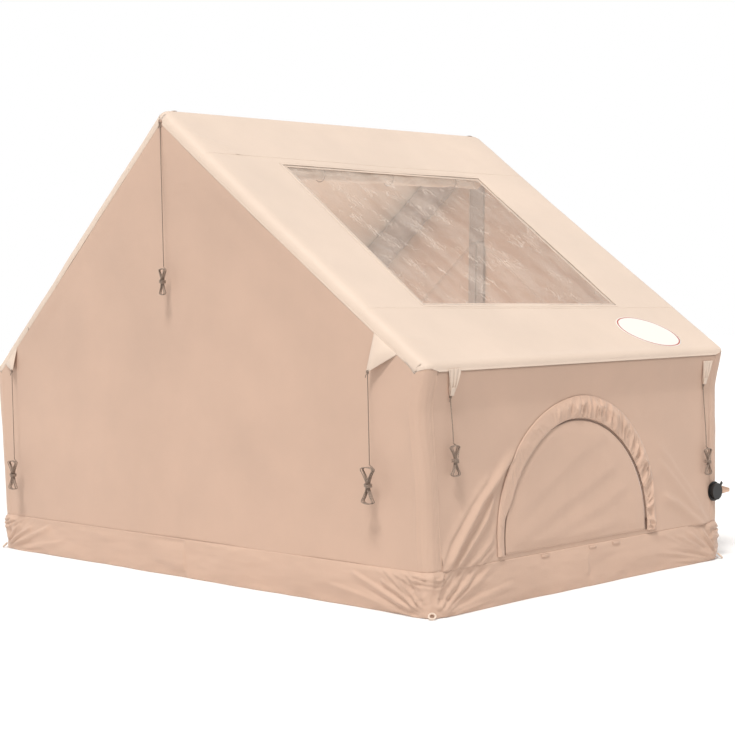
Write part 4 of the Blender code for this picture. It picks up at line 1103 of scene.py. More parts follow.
def make_wall(side, word):
    """Side wall, whose grid points near the window's opening are moved onto its line."""
    rows = spread(WALL_TOP - 0.003, SKIRT_HEIGHT - 0.004, WALL_RATE)
    columns = stretched((-2, -1, 1, 2), (0.12, 0.0095, 0.12))
    height, column = np.meshgrid(rows, columns, indexing="ij")
    flat = gable_y(height) - TUBE_INSET
    past = np.clip(np.abs(column) - 1, 0, 1)
    along = np.clip(column, -1, 1) * flat + np.sign(column) * past * SKIN_REACH * WALL_SEAM_TURN
    opening = WINDOW_RADIUS - WINDOW_REBATE
    bottom = WINDOW_BOTTOM + WINDOW_REBATE
    away = window_distance(along, height, opening)
    outward = np.stack([along - WINDOW_SHIFT, np.maximum(height - WINDOW_SPRING, 0.0)], -1)
    outward = outward / np.maximum(np.linalg.norm(outward, axis=-1, keepdims=True), 1e-9)
    near = (np.abs(away) < WALL_RATE * SNAP_SHARE) & (height > bottom)
    along = np.where(near, along - away * outward[..., 0], along)
    height = np.where(near, height - away * outward[..., 1], height)
    low = np.abs(height - bottom) < WALL_RATE * SNAP_SHARE
    height = np.where(low & (away < 0), bottom, height)
    outer, middle = wall_lines(height)
    points = hoop_point(outer, middle, along, side)
    hole = inner_faces((window_distance(along, height, opening) < 1e-5) & (height > bottom - 1e-5))
    turn = (np.abs(along) - flat) / SKIN_REACH
    turn = np.clip(turn, 0, None) + np.clip(turn, -0.5, 0)
    lift = wall_bumps(along, height, side) + corner_folds(turn, height, CORNER_SEED) - CLOTH_BACK
    lift = lift * smooth((rows[0] - height) / 0.03 + 0.15)
    cloth_piece("side_wall_cloth_" + word, points, pairs(along, height), "cloth", lift, ~hole,
                replaces=["side_wall_" + word])
    make_corner_seams(side, word)


# Creases of the gable's cloth, as points (x, z) with each crease's height and width
GABLE_CREASES = (([(0.06, 1.73), (0.30, 1.75)], 0.0016, 0.012), ([(-0.02, 1.70), (0.2, 1.71)], 0.0012, 0.01))


def gable_bumps(x, z, end):
    broad = waves(x, z, "gable", end)
    billow = 0.006 * np.cos(np.clip(x / 1.5, -1, 1) * math.pi / 2)
    billow = billow * np.sin(np.clip(z / RIDGE_HEIGHT, 0, 1) * math.pi)
    fine = waves(x, z * 0.5, "gable_fine", end)
    return broad - billow + fine + all_folds(x, z, GABLE_CREASES)


def make_gable(end, word):
    """Gable cloth, which runs on round the arch to its seams with the walls and roofs."""
    wall = [wall_station(height) for height in spread(SKIRT_HEIGHT - 0.004, WALL_TOP, 0.014)[:-1]]
    slopes = spread(EAVE_SLOPE, RIDGE_SLOPE, 0.0175)[1:]
    roof = [roof_station((EAVE_SLOPE - slope) / (EAVE_SLOPE - RIDGE_SLOPE)) for slope in slopes]
    stations = wall + EAVE_BENDS + roof + RIDGE_BENDS[1:]
    turn_rise = (ROOF_SEAM_TURN - WALL_SEAM_TURN) / BEND_ROWS
    turns = np.full((len(stations), 1), ROOF_SEAM_TURN)
    turns[:len(wall)] = WALL_SEAM_TURN
    turns[len(wall):len(wall) + BEND_ROWS + 1, 0] = WALL_SEAM_TURN + turn_rise * np.arange(BEND_ROWS + 1)
    outer = outer_points(stations)[:, None]
    middle = middle_points(stations)[:, None]
    share = spread(0, 1, 0.055)[None, :-1]
    turn = turns * (1 - share) + math.pi / 2 * share
    flat = gable_y(outer[..., 1]) - TUBE_INSET
    wide = np.zeros(share.shape + (1,))
    wrap = hoop_point(outer + wide, middle + wide, end * (flat + SKIN_REACH * turn), 1)
    wide = middle[:, :, 0] * spread(1, -1, 0.012)[None]
    high = np.broadcast_to(middle[:, :, 1], wide.shape)
    flat_part = np.stack([wide, end * gable_y(high), high], -1)
    points = np.concatenate([wrap, flat_part, wrap[:, ::-1] * MIRROR_X], axis=1)
    x = points[..., 0]
    z = points[..., 2]
    all_turns = np.concatenate([turn, np.full(wide.shape, math.pi / 2), turn[:, ::-1]], axis=1)
    inset = np.clip(np.abs(middle[:, :, 0]) - np.abs(x), 0, None)
    below = smooth((EAVE_HEIGHT + 0.02 - z) / 0.15) * smooth((z - SKIRT_HEIGHT) / 0.06 + 0.4)
    upright = corner_folds(all_turns + inset / SKIN_REACH, z, CORNER_SEED) * below
    lift = gable_bumps(x, z, end) * smooth(inset / 0.12) + upright - CLOTH_BACK
    lift = np.where(np.broadcast_to(middle[:, :, 0], x.shape) < 0.02, 0.0, lift)
    keep = door_keep(x, z) & valve_keep(points) if end == FRONT else None
    cloth_piece("gable_cloth_" + word, points, pairs(x, z), "cloth", lift, keep, replaces=["gable_" + word])


# Door: steps of its shoulder's bend, and its leaves', tapes' and coils' sizes
SHOULDER_STEPS = 8
LEAF_LIFT = GAP + COVER + 0.0006
DOOR_POINTS = 60
COIL_LIFT = GAP + 0.0022
BAND_DEPTH = 0.012


def door_line(half_width, bottom, lowered):
    """Half outline of the door as (x, height), from the foot of its side to its peak."""
    shoulder = np.array((half_width, DOOR_SHOULDER - lowered))
    peak = np.array((0.0, DOOR_PEAK - lowered))
    turn = math.acos(unit(peak - shoulder)[1])
    centre = shoulder - np.array((DOOR_BEND, DOOR_BEND * math.tan(turn / 2)))
    bend = [centre + DOOR_BEND * turned_by((1.0, 0.0), turn * step / SHOULDER_STEPS)
            for step in range(SHOULDER_STEPS + 1)]
    return np.array([(half_width, bottom), *bend, peak])


def door_half_at(height, half_width, lowered):
    line = door_line(half_width, 0.0, lowered)
    return np.interp(height, line[:, 1], line[:, 0])


def door_keep(x, z):
    """Faces to keep round the door's opening."""
    half = door_half_at(z, DOOR_HALF_WIDTH - DOOR_REBATE, DOOR_REBATE)
    inside = (np.abs(x) < half + 0.004) & (z > DOOR_BOTTOM + DOOR_REBATE - 0.004)
    return ~inner_faces(inside & (z < DOOR_PEAK - DOOR_REBATE))


def valve_keep(points):
    """Faces to keep round the hole in the cloth that the valve's plunger moves through."""
    low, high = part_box("valve_plunger")
    middle = (np.array(low) + np.array(high)) / 2
    radius = (high[2] - low[2]) / 2 + 0.003

    def inside(place):
        away = np.hypot(place[..., 1] - middle[1], place[..., 2] - middle[2])
        return (away < radius) & (place[..., 0] > 0)

    corners = (points[:-1, :-1], points[:-1, 1:], points[1:, 1:], points[1:, :-1])
    hole = inside(sum(corners[1:], corners[0]) / 4)
    for corner in corners:
        hole = hole | inside(corner)
    return ~hole


def make_door():
    """Two cloth leaves that meet at a zip. Each turns about its outer edge."""
    face = gable_face(1)
    zip_heights = np.linspace(DOOR_BOTTOM, DOOR_PEAK - 0.01, DOOR_POINTS)
    for side, word in SIDES:
        body = "leaf_" + word
        rows = spread(DOOR_BOTTOM, DOOR_PEAK - 0.008, 0.012)
        half = door_half_at(rows, DOOR_HALF_WIDTH, 0.0)
        shares = spread(0, 1, 0.022)
        inner = ZIP_WIDTH + GAP
        across = inner + np.maximum(half - inner, 0.001)[:, None] * shares[None]
        height = np.broadcast_to(rows[:, None], across.shape)
        edge = np.minimum(shares[None] * 6, (1 - shares[None]) * 6)
        puff = waves(across, height, "leaf", side) * smooth(edge)
        points = face.point(side * across, height, LEAF_LIFT + np.abs(puff))
        cloth_piece("door_leaf_cloth_" + word, points, pairs(across, height), "cloth", body=body,
                    replaces=["door_leaf_" + word])
        tape = face.point(np.full(DOOR_POINTS, side * ZIP_WIDTH * 0.55), zip_heights, GAP + 0.001)
        strip("door_tape_" + word, tape, face.outward, "door_tape", "tape", body, ["door_zip_" + word])
        coil = face.point(np.full(DOOR_POINTS, side * 0.0014), zip_heights, COIL_LIFT)
        tube_along("door_coil_" + word, coil, 0.0012, "zip", body=body)


def make_inner_band():
    """Band of cloth inside the front gable. Behind the door its two halves swing with the leaves."""
    face = gable_face(1)
    whole = (DOOR_PEAK - 0.040, INNER_BAND_TOP)
    halves = (DOOR_BOTTOM + 0.03, DOOR_PEAK - 0.043)
    place = INNER_BAND_WIDTH / 4 + 0.002
    for name, x, ends, kind, body in (("", 0.0, whole, "inner_band", "tent"),
                                      ("_right", place, halves, "half_band", "leaf_right"),
                                      ("_left", -place, halves, "half_band", "leaf_left")):
        height = spread(*ends, 0.02)
        path = face.point(np.full(len(height), x), height, -BAND_DEPTH)
        # The band takes the tubes' dark colour: painted shade, since the band is backlit where it is seen
        # through the film.
        strip("door_inner_band" + name, path, -face.outward, kind, "air_tube", body)


def arch_path(radius, bottom, count, shear=0.0, shift=WINDOW_SHIFT, spring=WINDOW_SPRING):
    """Round-topped line on the wall as (Y, height), from its front foot over to its rear foot."""
    legs = max(2, round((spring - bottom) / 0.01))
    points = [(shift + radius, bottom + (spring - bottom) * i / legs) for i in range(legs)]
    for step in range(count + 1):
        angle = math.pi * step / count
        rise = radius * math.sin(angle)
        points.append((shift + radius * math.cos(angle) + shear * rise, spring + rise))
    points += [(shift - radius, spring - (spring - bottom) * i / legs) for i in range(1, legs + 1)]
    return np.array(points)


# Folds of the window's cover, as points (Y, height) with each fold's height and width
COVER_FOLDS = (
    ([(-0.50, 0.22), (-0.30, 0.30), (-0.05, 0.40), (0.25, 0.52)], 0.0055, 0.035),
    ([(-0.46, 0.21), (-0.20, 0.25), (0.10, 0.33), (0.33, 0.42)], 0.005, 0.03),
    ([(-0.48, 0.32), (-0.25, 0.45), (0.0, 0.58), (0.18, 0.64)], 0.003, 0.03),
    ([(-0.40, 0.205), (0.0, 0.225), (0.3, 0.26)], 0.0035, 0.018),
)


def arch_grid(radius, bottom):
    """Grid over a round-topped shape on the wall, with half its width at each row."""
    shares = spread(-1, 1, 0.024)
    angles = np.radians(spread(0, 89.4, 2.4))
    straight = spread(bottom, WINDOW_SPRING, 0.011)[:-1]
    half = np.concatenate([np.full(len(straight), radius), radius * np.cos(angles)])
    height = np.concatenate([straight, WINDOW_SPRING + radius * np.sin(angles)])
    across = WINDOW_SHIFT + half[:, None] * shares[None]
    return across, np.broadcast_to(height[:, None], across.shape), half[:, None] * (1 - np.abs(shares))[None]


def make_window(side, word):
    """Net, cover, zip, storm flap and toggles of one side window."""
    face = wall_face(side)
    radius = WINDOW_RADIUS - WINDOW_REBATE + 0.004
    across, height, _ = arch_grid(radius, WINDOW_BOTTOM + WINDOW_REBATE - 0.004)
    depth = -NET_SETBACK - 0.0012 + 0.0008 * noise(across, height, 0.2, 131)
    cloth_piece("window_net_sheet_" + word, face.point(across, height, depth), pairs(across, height), "net",
                replaces=["window_net_" + word], thickness=0.0004)

    across, height, margin = arch_grid(WINDOW_RADIUS, WINDOW_BOTTOM)
    up = (height - WINDOW_BOTTOM) / (WINDOW_RADIUS + WINDOW_SPRING - WINDOW_BOTTOM)
    edge = smooth(margin / 0.07) * smooth(up / 0.08) * smooth((1 - up) / 0.12)
    diagonal = all_folds(across, height, COVER_FOLDS)
    puff = 0.004 * edge + diagonal * (0.35 + 0.65 * edge)
    puff = puff + waves(across, height, "cover", side) * edge
    points = face.point(across, height, GAP + COVER + np.maximum(puff, 0))
    cloth_piece("window_cover_cloth_" + word, points, pairs(across, height), "cloth", body="cover_" + word,
                replaces=["window_cover_" + word])

    y, z = arch_path(WINDOW_RADIUS + GAP + ZIP_WIDTH / 2, WINDOW_BOTTOM, 72).T
    path = face.point(y, z, GAP + 0.0008)
    strip("window_tape_" + word, path, face.outward, "window_tape", "tape", replaces=["window_zip_" + word])
    tube_along("window_coil_" + word, face.point(y, z, COIL_LIFT), 0.0016, "zip")
    make_storm_flap(side, word, face)
    make_toggles(word, face)


# Storm flap: its outer line, its cloth's size, and how far it leans over the zip
FLAP_LINE = {"shear": 0.05, "shift": -0.052, "spring": 0.280}
FLAP_OUTER_RADIUS = 0.522
FLAP_POINTS = 480
FLAP_LENGTH = 1.65
FLAP_DEPTH = 0.075
FLAP_OVER_ZIP = 0.017


def flap_over_zip(share):
    """How much the flap covers the zip at a share of its length: it opens towards both feet."""
    return (smooth((share - 0.50) / 0.24) * smooth((0.92 - share) / 0.07))[:, None]


def evenly(line, shares):
    """Points at shares of a line's length."""
    run = run_along(line)
    return np.stack([np.interp(shares, run / run[-1], line[:, axis]) for axis in (0, 1)], -1)


def make_storm_flap(side, word, face):
    """Gathered strip of cloth round the zip, sewn down along its outer edge."""
    bottom = WINDOW_BOTTOM - 0.004
    inner = arch_path(WINDOW_RADIUS + ZIP_WIDTH + 0.003, bottom, 220)
    inward = unit_rows(np.array((WINDOW_SHIFT, WINDOW_SPRING - 0.05)) - inner)
    inner = inner + flap_over_zip(np.linspace(0, 1, len(inner))) * FLAP_OVER_ZIP * inward
    run = np.linspace(0, 1, FLAP_POINTS)
    inner = evenly(inner, run)
    outer = evenly(arch_path(FLAP_OUTER_RADIUS, bottom, 220, **FLAP_LINE), run)
    shares = np.linspace(0, 1, 17)
    plane = inner[:, None] * (1 - shares[None, :, None]) + outer[:, None] * shares[None, :, None]
    along, across = np.broadcast_arrays((FLAP_LENGTH * run)[:, None], FLAP_DEPTH * shares[None])
    lean = along + across * (0.9 * noise(along, across * 0, 0.22, 151))
    gather = 1 - np.abs(noise(lean, across * 0.3, 0.030, 161 + side)) ** 0.7 * 1.6
    gather = gather + 0.5 * (1 - np.abs(noise(lean, across * 0.5, 0.016, 171 + side)) * 2)
    body = np.sin(shares * math.pi)[None] ** 0.7
    front = 0.2 + 0.8 * smooth((0.66 - run) / 0.2)[:, None]
    lip = np.exp(-(shares / 0.12) ** 2)[None]
    lift = GAP + 0.003 + 0.013 * np.maximum(gather, -0.3) * body * front + 0.006 * body + 0.003 * lip
    lift = lift + wall_bumps(plane[..., 0], plane[..., 1], side) * shares[None]
    lift = lift + 0.006 * flap_over_zip(run) * np.exp(-(shares / 0.3) ** 2)[None]
    points = face.point(plane[..., 0], plane[..., 1], lift)
    cloth_piece("window_flap_cloth_" + word, points, pairs(along, across), "cloth",
                replaces=["window_flap_" + word])


def make_toggles(word, face):
    """Pale webbing toggles under the window, which hold the rolled cover."""
    top = SKIRT_HEIGHT - TOGGLE_DROP - TOGGLE_WIDTH / 2
    for number, place in enumerate(TOGGLE_PLACES):
        low = WINDOW_SHIFT + place - TOGGLE_LENGTH / 2
        across = spread(low, low + TOGGLE_LENGTH, 0.004)
        wave = 0.0015 * np.sin((across - low) / TOGGLE_LENGTH * math.pi)
        path = face.point(across, np.full(len(across), top), 0.0045 + wave)
        strip(f"toggle_{word}_{number + 1}", path, face.outward, "toggle", "cloth")


# Folds of the skirt at a corner. Places are from the corner, with the wall's side below zero
SWAG_MIDDLE = -0.02
SWAG_WALL_REACH = 0.085
SWAG_GABLE_REACH = 0.19
PEG_FOLDS = (
    ([(-0.02, 0.015), (-0.12, 0.085), (-0.25, 0.165)], 0.011, 0.012),
    ([(-0.03, 0.008), (-0.18, 0.085), (-0.36, 0.172)], 0.009, 0.013),
    ([(-0.015, 0.03), (-0.07, 0.09), (-0.14, 0.15)], 0.010, 0.009),
    ([(-0.05, 0.006), (-0.25, 0.05), (-0.5, 0.09)], 0.005, 0.014),
    ([(0.42, 0.150), (0.22, 0.080), (0.03, 0.012)], 0.011, 0.013),
    ([(0.25, 0.135), (0.13, 0.080), (0.02, 0.020)], 0.011, 0.010),
    ([(0.15, 0.145), (0.08, 0.090), (0.015, 0.035)], 0.009, 0.009),
    ([(0.55, 0.085), (0.3, 0.045), (0.05, 0.006)], 0.005, 0.014),
)


# Swags that hang under a corner, as (drop below the skirt's seam, height, width)
SWAGS = ((0.016, 0.006, 0.0045), (0.030, 0.009, 0.005), (0.047, 0.009, 0.006), (0.068, 0.006, 0.008))


def skirt_bumps(from_corner, height, seed):
    """Ridges that run down to each peg, swags under each corner and a slack hem between the corners."""
    away = np.abs(from_corner)
    ray = np.arctan2(height + 0.004, away) + 0.6 * np.sign(from_corner)
    radius = np.hypot(away, height)
    rays = noise(ray, radius * 0.16, 0.085, seed) + 0.6 * noise(ray, radius * 0.2, 0.045, seed + 1)
    near = smooth((0.62 - away) / 0.5)
    rays = 0.006 * np.maximum(rays, -0.25) * near * smooth(radius / 0.09) * smooth((0.56 - radius) / 0.3)
    bay = np.where(from_corner < SWAG_MIDDLE, SWAG_WALL_REACH, SWAG_GABLE_REACH)
    bow = 0.055 * np.abs((from_corner - SWAG_MIDDLE) / bay) ** 1.4
    ring = SKIRT_HEIGHT - height + bow + 0.006 * noise(from_corner, height, 0.035, seed + 2)
    swags = 0.0
    for place, tall, width in SWAGS:
        swags = swags + tall * np.exp(-((ring - place) / width) ** 2)
    swags = swags * smooth((0.22 - away) / 0.08)
    swags = swags + all_folds(from_corner, height, PEG_FOLDS, one_sided=0.55, fade=(0.12, 0.3))
    crinkle = crumple(from_corner * 0.8 + height * 0.5, height - from_corner * 0.3, 0.030, seed + 6, 2)
    swags = swags + 0.0035 * crinkle * smooth((0.15 - away) / 0.1)
    slack = 0.006 * np.sin(np.clip(height / SKIRT_HEIGHT, 0, 1) * math.pi)
    long = 0.005 * crumple(from_corner * 0.45, height * 1.5, 0.13, seed + 3, 3)
    return (rays + swags + long) * smooth((SKIRT_HEIGHT - height) / 0.02) + slack


def mirrored(first, second, drop_last):
    """Two halves of a band: the second is turned round and shares its end points with the first."""
    return np.concatenate([first, second[:, ::-1][:, 1:-1 if drop_last else None]], axis=1)


def make_skirt():
    """Band of cloth all round the foot, made of four alike quarters with folds of their own."""
    rows = np.concatenate([[0.0012], spread(0.004, SKIRT_HEIGHT, 0.0055)])
    flat = BASE_DEPTH / 2 - TUBE_INSET
    across_steps = spread(0, flat, 0.009)[:-1]
    turns = SKIN_REACH * spread(0, math.pi / 2, 0.085)
    gable_steps = spread(0, 1, 0.0066)[1:]
    corner_place = SKIN_REACH * math.pi / 4
    quarter = []
    place = []
    for height in rows:
        station = wall_line(height)
        middle = tube_middle(station)
        level = gable_y(height) - TUBE_INSET
        ys = across_steps / flat * level
        wall = hoop_point(station(0.0)[None], middle[None], np.concatenate([ys, level + turns]), 1)
        xs = middle[0] * (1 - gable_steps)
        gable = np.stack([xs, np.full(len(xs), wall[-1, 1]), np.full(len(xs), wall[-1, 2])], -1)
        quarter.append(np.concatenate([wall, gable]))
        past = SKIN_REACH * math.pi / 2 - corner_place + middle[0] * gable_steps
        place.append(np.concatenate([ys - level - corner_place, turns - corner_place, past]))
    quarter = np.array(quarter)
    place = np.array(place)
    high = np.broadcast_to(rows[:, None], place.shape)
    front = mirrored(quarter, quarter * MIRROR_X, False)
    points = mirrored(front, front * MIRROR_Y, True)
    bumps = [skirt_bumps(place, high, seed) for seed in (201, 205, 209, 213)]
    lift = mirrored(mirrored(*bumps[:2], False), mirrored(*bumps[2:], False), True) + SHEET_CLEAR
    run = run_along(points[0])
    wrapped = np.concatenate([points[:, -1:], points, points[:, :1]], axis=1)
    normals = outward_normals(wrapped, TENT_MIDDLE)[:, 1:-1]
    normals[..., 2] = 0.0
    points = points + unit_rows(normals) * lift[..., None]
    obj = grid_object("ground_skirt_cloth", points, pairs(run[None], rows[:, None]), "cloth", closed=True)
    settle(obj, replaces=["ground_skirt"])


def make_peg_loops():
    """Webbing loops at the ground corners, each with its ring."""
    middle_x, middle_z = tube_middle(wall_line(0.0))
    start = ARCH_RADIUS + GAP + CLOTH / 2
    for side, side_word in SIDES:
        for end, end_word in reversed(ENDS):
            word = f"{side_word}_{end_word}"
            out = np.array((side, end, 0.0)) / math.sqrt(2)
            across = np.array((-out[1], out[0], 0.0))
            base = np.array((side * middle_x, end * (gable_y(middle_z) - TUBE_INSET), 0.0))
            ring = []
            for angle in spread(0, 2 * math.pi, 0.28):
                place = base + out * (start + 0.040 + 0.009 * math.cos(angle))
                place = place + across * 0.013 * math.sin(angle)
                ring.append(place + UP * (0.0135 - 0.009 * math.cos(angle)))
            tube_along("peg_ring_" + word, ring, 0.0042, "roof_cloth")
            path = []
            for share in spread(0, 1, 0.12):
                place = base + out * (start + 0.004 + 0.026 * share)
                path.append(place + UP * (0.004 + 0.004 * math.sin(share * 3)))
            strip("peg_webbing_" + word, path, UP, "peg_webbing", "cloth")


# Air tubes and ground sheet
TUBE_FILL = 0.985


def make_tubes():
    stations = [wall_station(height) for height in spread(GROUND_SHEET + 0.004, WALL_TOP, 0.03)[:-1]]
    stations += EAVE_BENDS + [roof_station(share) for share in spread(0, 1, 0.02)[1:-1]] + RIDGE_BENDS
    turns = spread(0, 2 * math.pi, 0.2)[:-1]
    for end, word in ENDS:
        rows = []
        for station in stations:
            middle = tube_middle(station)
            outer = station(TUBE_NEAR)
            x = middle[0] + np.cos(turns) * (outer[0] - middle[0])
            z = middle[1] + np.cos(turns) * (outer[1] - middle[1])
            y = end * (gable_y(z) - TUBE_INSET) + ARCH_RADIUS * np.sin(turns)
            rows.append(np.stack([x, y, z], -1))
        right = np.array(rows)
        points = np.concatenate([right, (right[:-1] * MIRROR_X)[::-1]])
        middle = points.mean(1, keepdims=True)
        run = run_along(middle[:, 0])[:, None]
        ripple = waves(run, turns[None] * 0.05, "arch", end)
        points = middle + (points - middle) * (TUBE_FILL + ripple[..., None] / ARCH_RADIUS)
        solid_tube("arch_tube_" + word, points, pairs(turns[None] * ARCH_RADIUS, run), "arch_" + word)
    for name in ("ridge_beam", "eave_beam_right", "eave_beam_left"):
        low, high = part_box(name)
        ys = spread(low.y + 0.012, high.y - 0.012, 0.02)[:, None]
        reach = BEAM_RADIUS * TUBE_FILL + waves(ys, turns[None] * 0.05, "beam")
        x = (low.x + high.x) / 2 + reach * np.cos(turns)[None]
        z = (low.z + high.z) / 2 + reach * np.sin(turns)[None]
        points = np.stack(np.broadcast_arrays(x, ys, z), -1)
        solid_tube("air_" + name, points, pairs(turns[None] * BEAM_RADIUS, ys), name)


def solid_tube(name, points, uv, node):
    """Closed tube with capped ends."""
    obj = grid_object(name, points, uv, "air_tube", None, 0.0, points.mean((0, 1)), closed=True)
    mesh = obj.data
    count = points.shape[1]
    verts = [tuple(vert.co) for vert in mesh.vertices]
    faces = [tuple(face.vertices) for face in mesh.polygons]
    last = len(verts) - count
    faces.append(tuple(range(count)))
    faces.append(tuple(range(len(verts) - 1, last - 1, -1)))
    made = bpy.data.meshes.new(name)
    made.from_pydata(verts, [], faces)
    flat = uv.reshape(-1, 2)
    layer = made.uv_layers.new(name="cloth")
    for loop in made.loops:
        layer.data[loop.index].uv = flat[loop.vertex_index]
    made.shade_smooth()
    made.materials.append(LOOKS["air_tube"])
    obj.data = made
    bpy.data.meshes.remove(mesh)
    work = bmesh.new()
    work.from_mesh(made)
    bmesh.ops.recalc_face_normals(work, faces=work.faces)
    work.to_mesh(made)
    work.free()
    settle(obj, replaces=[node])


def make_ground_sheet():
    low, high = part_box("ground_sheet")
    xs = spread(low.x + 0.02, high.x - 0.02, 0.03)
    ys = spread(low.y + 0.02, high.y - 0.02, 0.03)
    x, y = np.meshgrid(xs, ys, indexing="ij")
    height = GROUND_SHEET - 0.001 + waves(x, y, "floor")
    cloth_piece("ground_sheet_cloth", np.stack([x, y, height], -1), pairs(x, y), "air_tube",
                replaces=["ground_sheet"], centre=-UP, thickness=0.002)


def make_patch():
    """Bare oval patch: a square grid drawn into a disc, so that it has no point in its middle."""
    u, v = np.meshgrid(np.linspace(-1, 1, 41), np.linspace(-1, 1, 41), indexing="ij")
    across = u * np.sqrt(1 - v * v / 2)
    down = v * np.sqrt(1 - u * u / 2)
    dome = 0.0012 * (1 - np.hypot(across, down) ** 6)
    wide = across * PATCH_ALONG / 2
    deep = down * PATCH_DOWN / 2
    along = PATCH_Y + wide * math.cos(PATCH_LEAN) - deep * math.sin(PATCH_LEAN)
    slope = PATCH_SLOPE_PLACE + wide * math.sin(PATCH_LEAN) + deep * math.cos(PATCH_LEAN)
    points, _ = on_roof(along, slope, 1, SHEET_CLEAR + 0.0006 + dome)
    patch = grid_object("patch_oval", points, pairs(across, down), "patch", None, 0.0009)
    settle(patch, replaces=["label_patch"])


# Tabs, ears and ropes
TAB_SHEET = 0.0012
EAR_SHEET = 0.0013
EAR_FALL = 0.11
SQUARE_LENGTH = 0.021
SQUARE_LIFT = 0.0115


def make_wall_tab(word, side, place, height):
    """Cloth gathered into three ribs down to a square tip."""
    face = wall_face(side)
    tip = height / face.up[2]
    rows = np.linspace(0, 1, 22)[:, None]
    shares = np.linspace(-1, 1, 31)[None]
    half = WALL_TAB_WIDTH / 2 * (1 - rows) ** 0.8 + TAB_TIP_WIDTH / 2 * rows ** 0.7
    half = np.maximum(half, TAB_TIP_WIDTH / 2)
    across, up = np.broadcast_arrays(place + half * shares, tip + WALL_TAB_LENGTH * (1 - rows))
    ribs = np.abs(np.sin(shares * math.pi * 1.5 + 0.4 * rows)) ** 0.7
    lift = GAP + 0.0015 + 0.009 * ribs * (0.3 + 0.7 * np.sin(rows * math.pi * 0.6))
    cloth_piece("wall_tab_" + word, face.point(across, up, lift), pairs(across, up), "roof_cloth",
                thickness=TAB_SHEET)
    square = face.point(np.full(8, place), np.linspace(tip + SQUARE_LENGTH, tip, 8), SQUARE_LIFT)
    strip("tab_square_" + word, square, face.outward, "tab_square", "roof_cloth")


def hem_point(out, turn, end, side):
    """Point of the roof's hem at a turn round the arch and a distance out from the tent's middle."""
    rise = 0.0
    for _ in range(12):
        outer = EAVE + ROOF_UP * rise
        middle = outer + ROOF_IN * TUBE_INSET
        x = middle[0] + math.cos(turn) * (outer[0] - middle[0])
        rise += (x - out) / -ROOF_UP[0]
    outer = EAVE + ROOF_UP * rise
    middle = outer + ROOF_IN * TUBE_INSET
    along = end * (gable_y(outer[1]) - TUBE_INSET + SKIN_REACH * turn)
    return hoop_point(outer[None], middle[None], np.array([along]), side)[0]


def make_ear(word, end, place, height):
    """Corner flap of the roof's hem, which runs out to the tip that the rope hangs from."""
    side = math.copysign(1.0, place)
    columns = np.linspace(0, 1, 25)
    start = abs(place) - 0.016
    turn = ROOF_SEAM_TURN - 0.03
    hem = swell([hem_point(start + EAR_SPREAD * share, turn, end, side) for share in columns])
    tip_y = end * (gable_y(height) + EAR_OUT)
    shifts = np.linspace(-TAB_TIP_WIDTH / 2, TAB_TIP_WIDTH / 2, len(columns))
    tip = np.array([(side * (abs(place) + shift), tip_y, height) for shift in shifts])
    rows = np.linspace(0, 1, 20)
    hug = rows[:, None, None] ** (1.0 + 0.55 * columns[None, :, None])
    bow = np.sin(rows * math.pi)[:, None] * (0.012 * np.sin(columns * math.pi))[None]
    points = hem[None] * (1 - hug) + tip[None] * hug + bow[..., None] * np.array((0.0, end, 0.25))
    uv = pairs(columns[None] * EAR_SPREAD, rows[:, None] * EAR_FALL)
    centre = points.mean((0, 1)) - np.array((0.0, end * 0.5, 0.0))
    cloth_piece("ear_" + word, points, uv, "roof_cloth", centre=centre, thickness=EAR_SHEET, swollen=False)


def make_ridge_tab(word, end, height):
    """Strap over the apex, whose tail hangs down the gable."""
    station = ridge_bend(RIDGE_STEPS)
    middle = tube_middle(station)
    outer = station(0.0)
    line = []
    normals = []
    for turn in np.radians(spread(-6, 78, 6)):
        x = middle[0] + math.cos(turn) * (outer[0] - middle[0])
        z = middle[1] + math.cos(turn) * (outer[1] - middle[1])
        y = end * (gable_y(z) - TUBE_INSET + SKIN_REACH * math.sin(turn))
        normal = np.array((0.0, end * math.sin(turn), math.cos(turn)))
        line.append(np.array((x, y, z)) + normal * 0.0015)
        normals.append(normal)
    for lift in np.linspace(RIDGE_TAB_TAIL, 0.0, 4):
        line.append(np.array((0.0, end * (gable_y(height) + GAP + 0.002), height + lift)))
        normals.append(np.array((0.0, end, 0.1)))
    strip("ridge_strap_" + word, line, normals, "ridge_strap", "tape", replaces=["ridge_tab_" + word])


def rope_anchor(kind, sign, place, height):
    if kind == "wall":
        x = wall_line(height)(0.0)[0] + GAP + TAB / 2
        return np.array((sign * x, place, height)), np.array((sign, 0.0, 0.0)), np.array((0.0, 1.0, 0.0))
    proud = EAR_OUT if kind == "gable" else GAP + TAB / 2
    drop = EAR / 3 if kind == "gable" else 0.0
    y = gable_y(height) + proud
    return np.array((place, sign * y, height - drop)), np.array((0.0, sign, 0.0)), np.array((1.0, 0.0, 0.0))


def wrap_depths(loops):
    low_layer = WAIST_BACK_SHARE * LAYER_PITCH
    high_layer = loops * LAYER_PITCH
    return (low_layer + high_layer) / 2, (high_layer - low_layer) / 2 + ROPE + WRAP_CLEAR_OUT


def hank_start(kind, sign, anchor, top, size):
    start = np.array((anchor[0], anchor[1], top))
    if kind == "wall":
        height, width, loops = size
        centre, half_out = wrap_depths(loops)
        lowest = wall_line(top - height - LEAD)(0.0)[0]
        start[0] = sign * max(abs(anchor[0]), lowest + half_out - centre + ROPE / 2 + HANK_WALL_GAP)
    return start


def hanging_run(first, last):
    count = max(2, round(float(first[2] - last[2]) / ROPE_STEP))
    points = []
    for step in range(count + 1):
        share = step / count
        x, y = first[:2] + (last[:2] - first[:2]) * float(smooth(share))
        points.append(np.array((x, y, first[2] + (last[2] - first[2]) * share)))
    return points


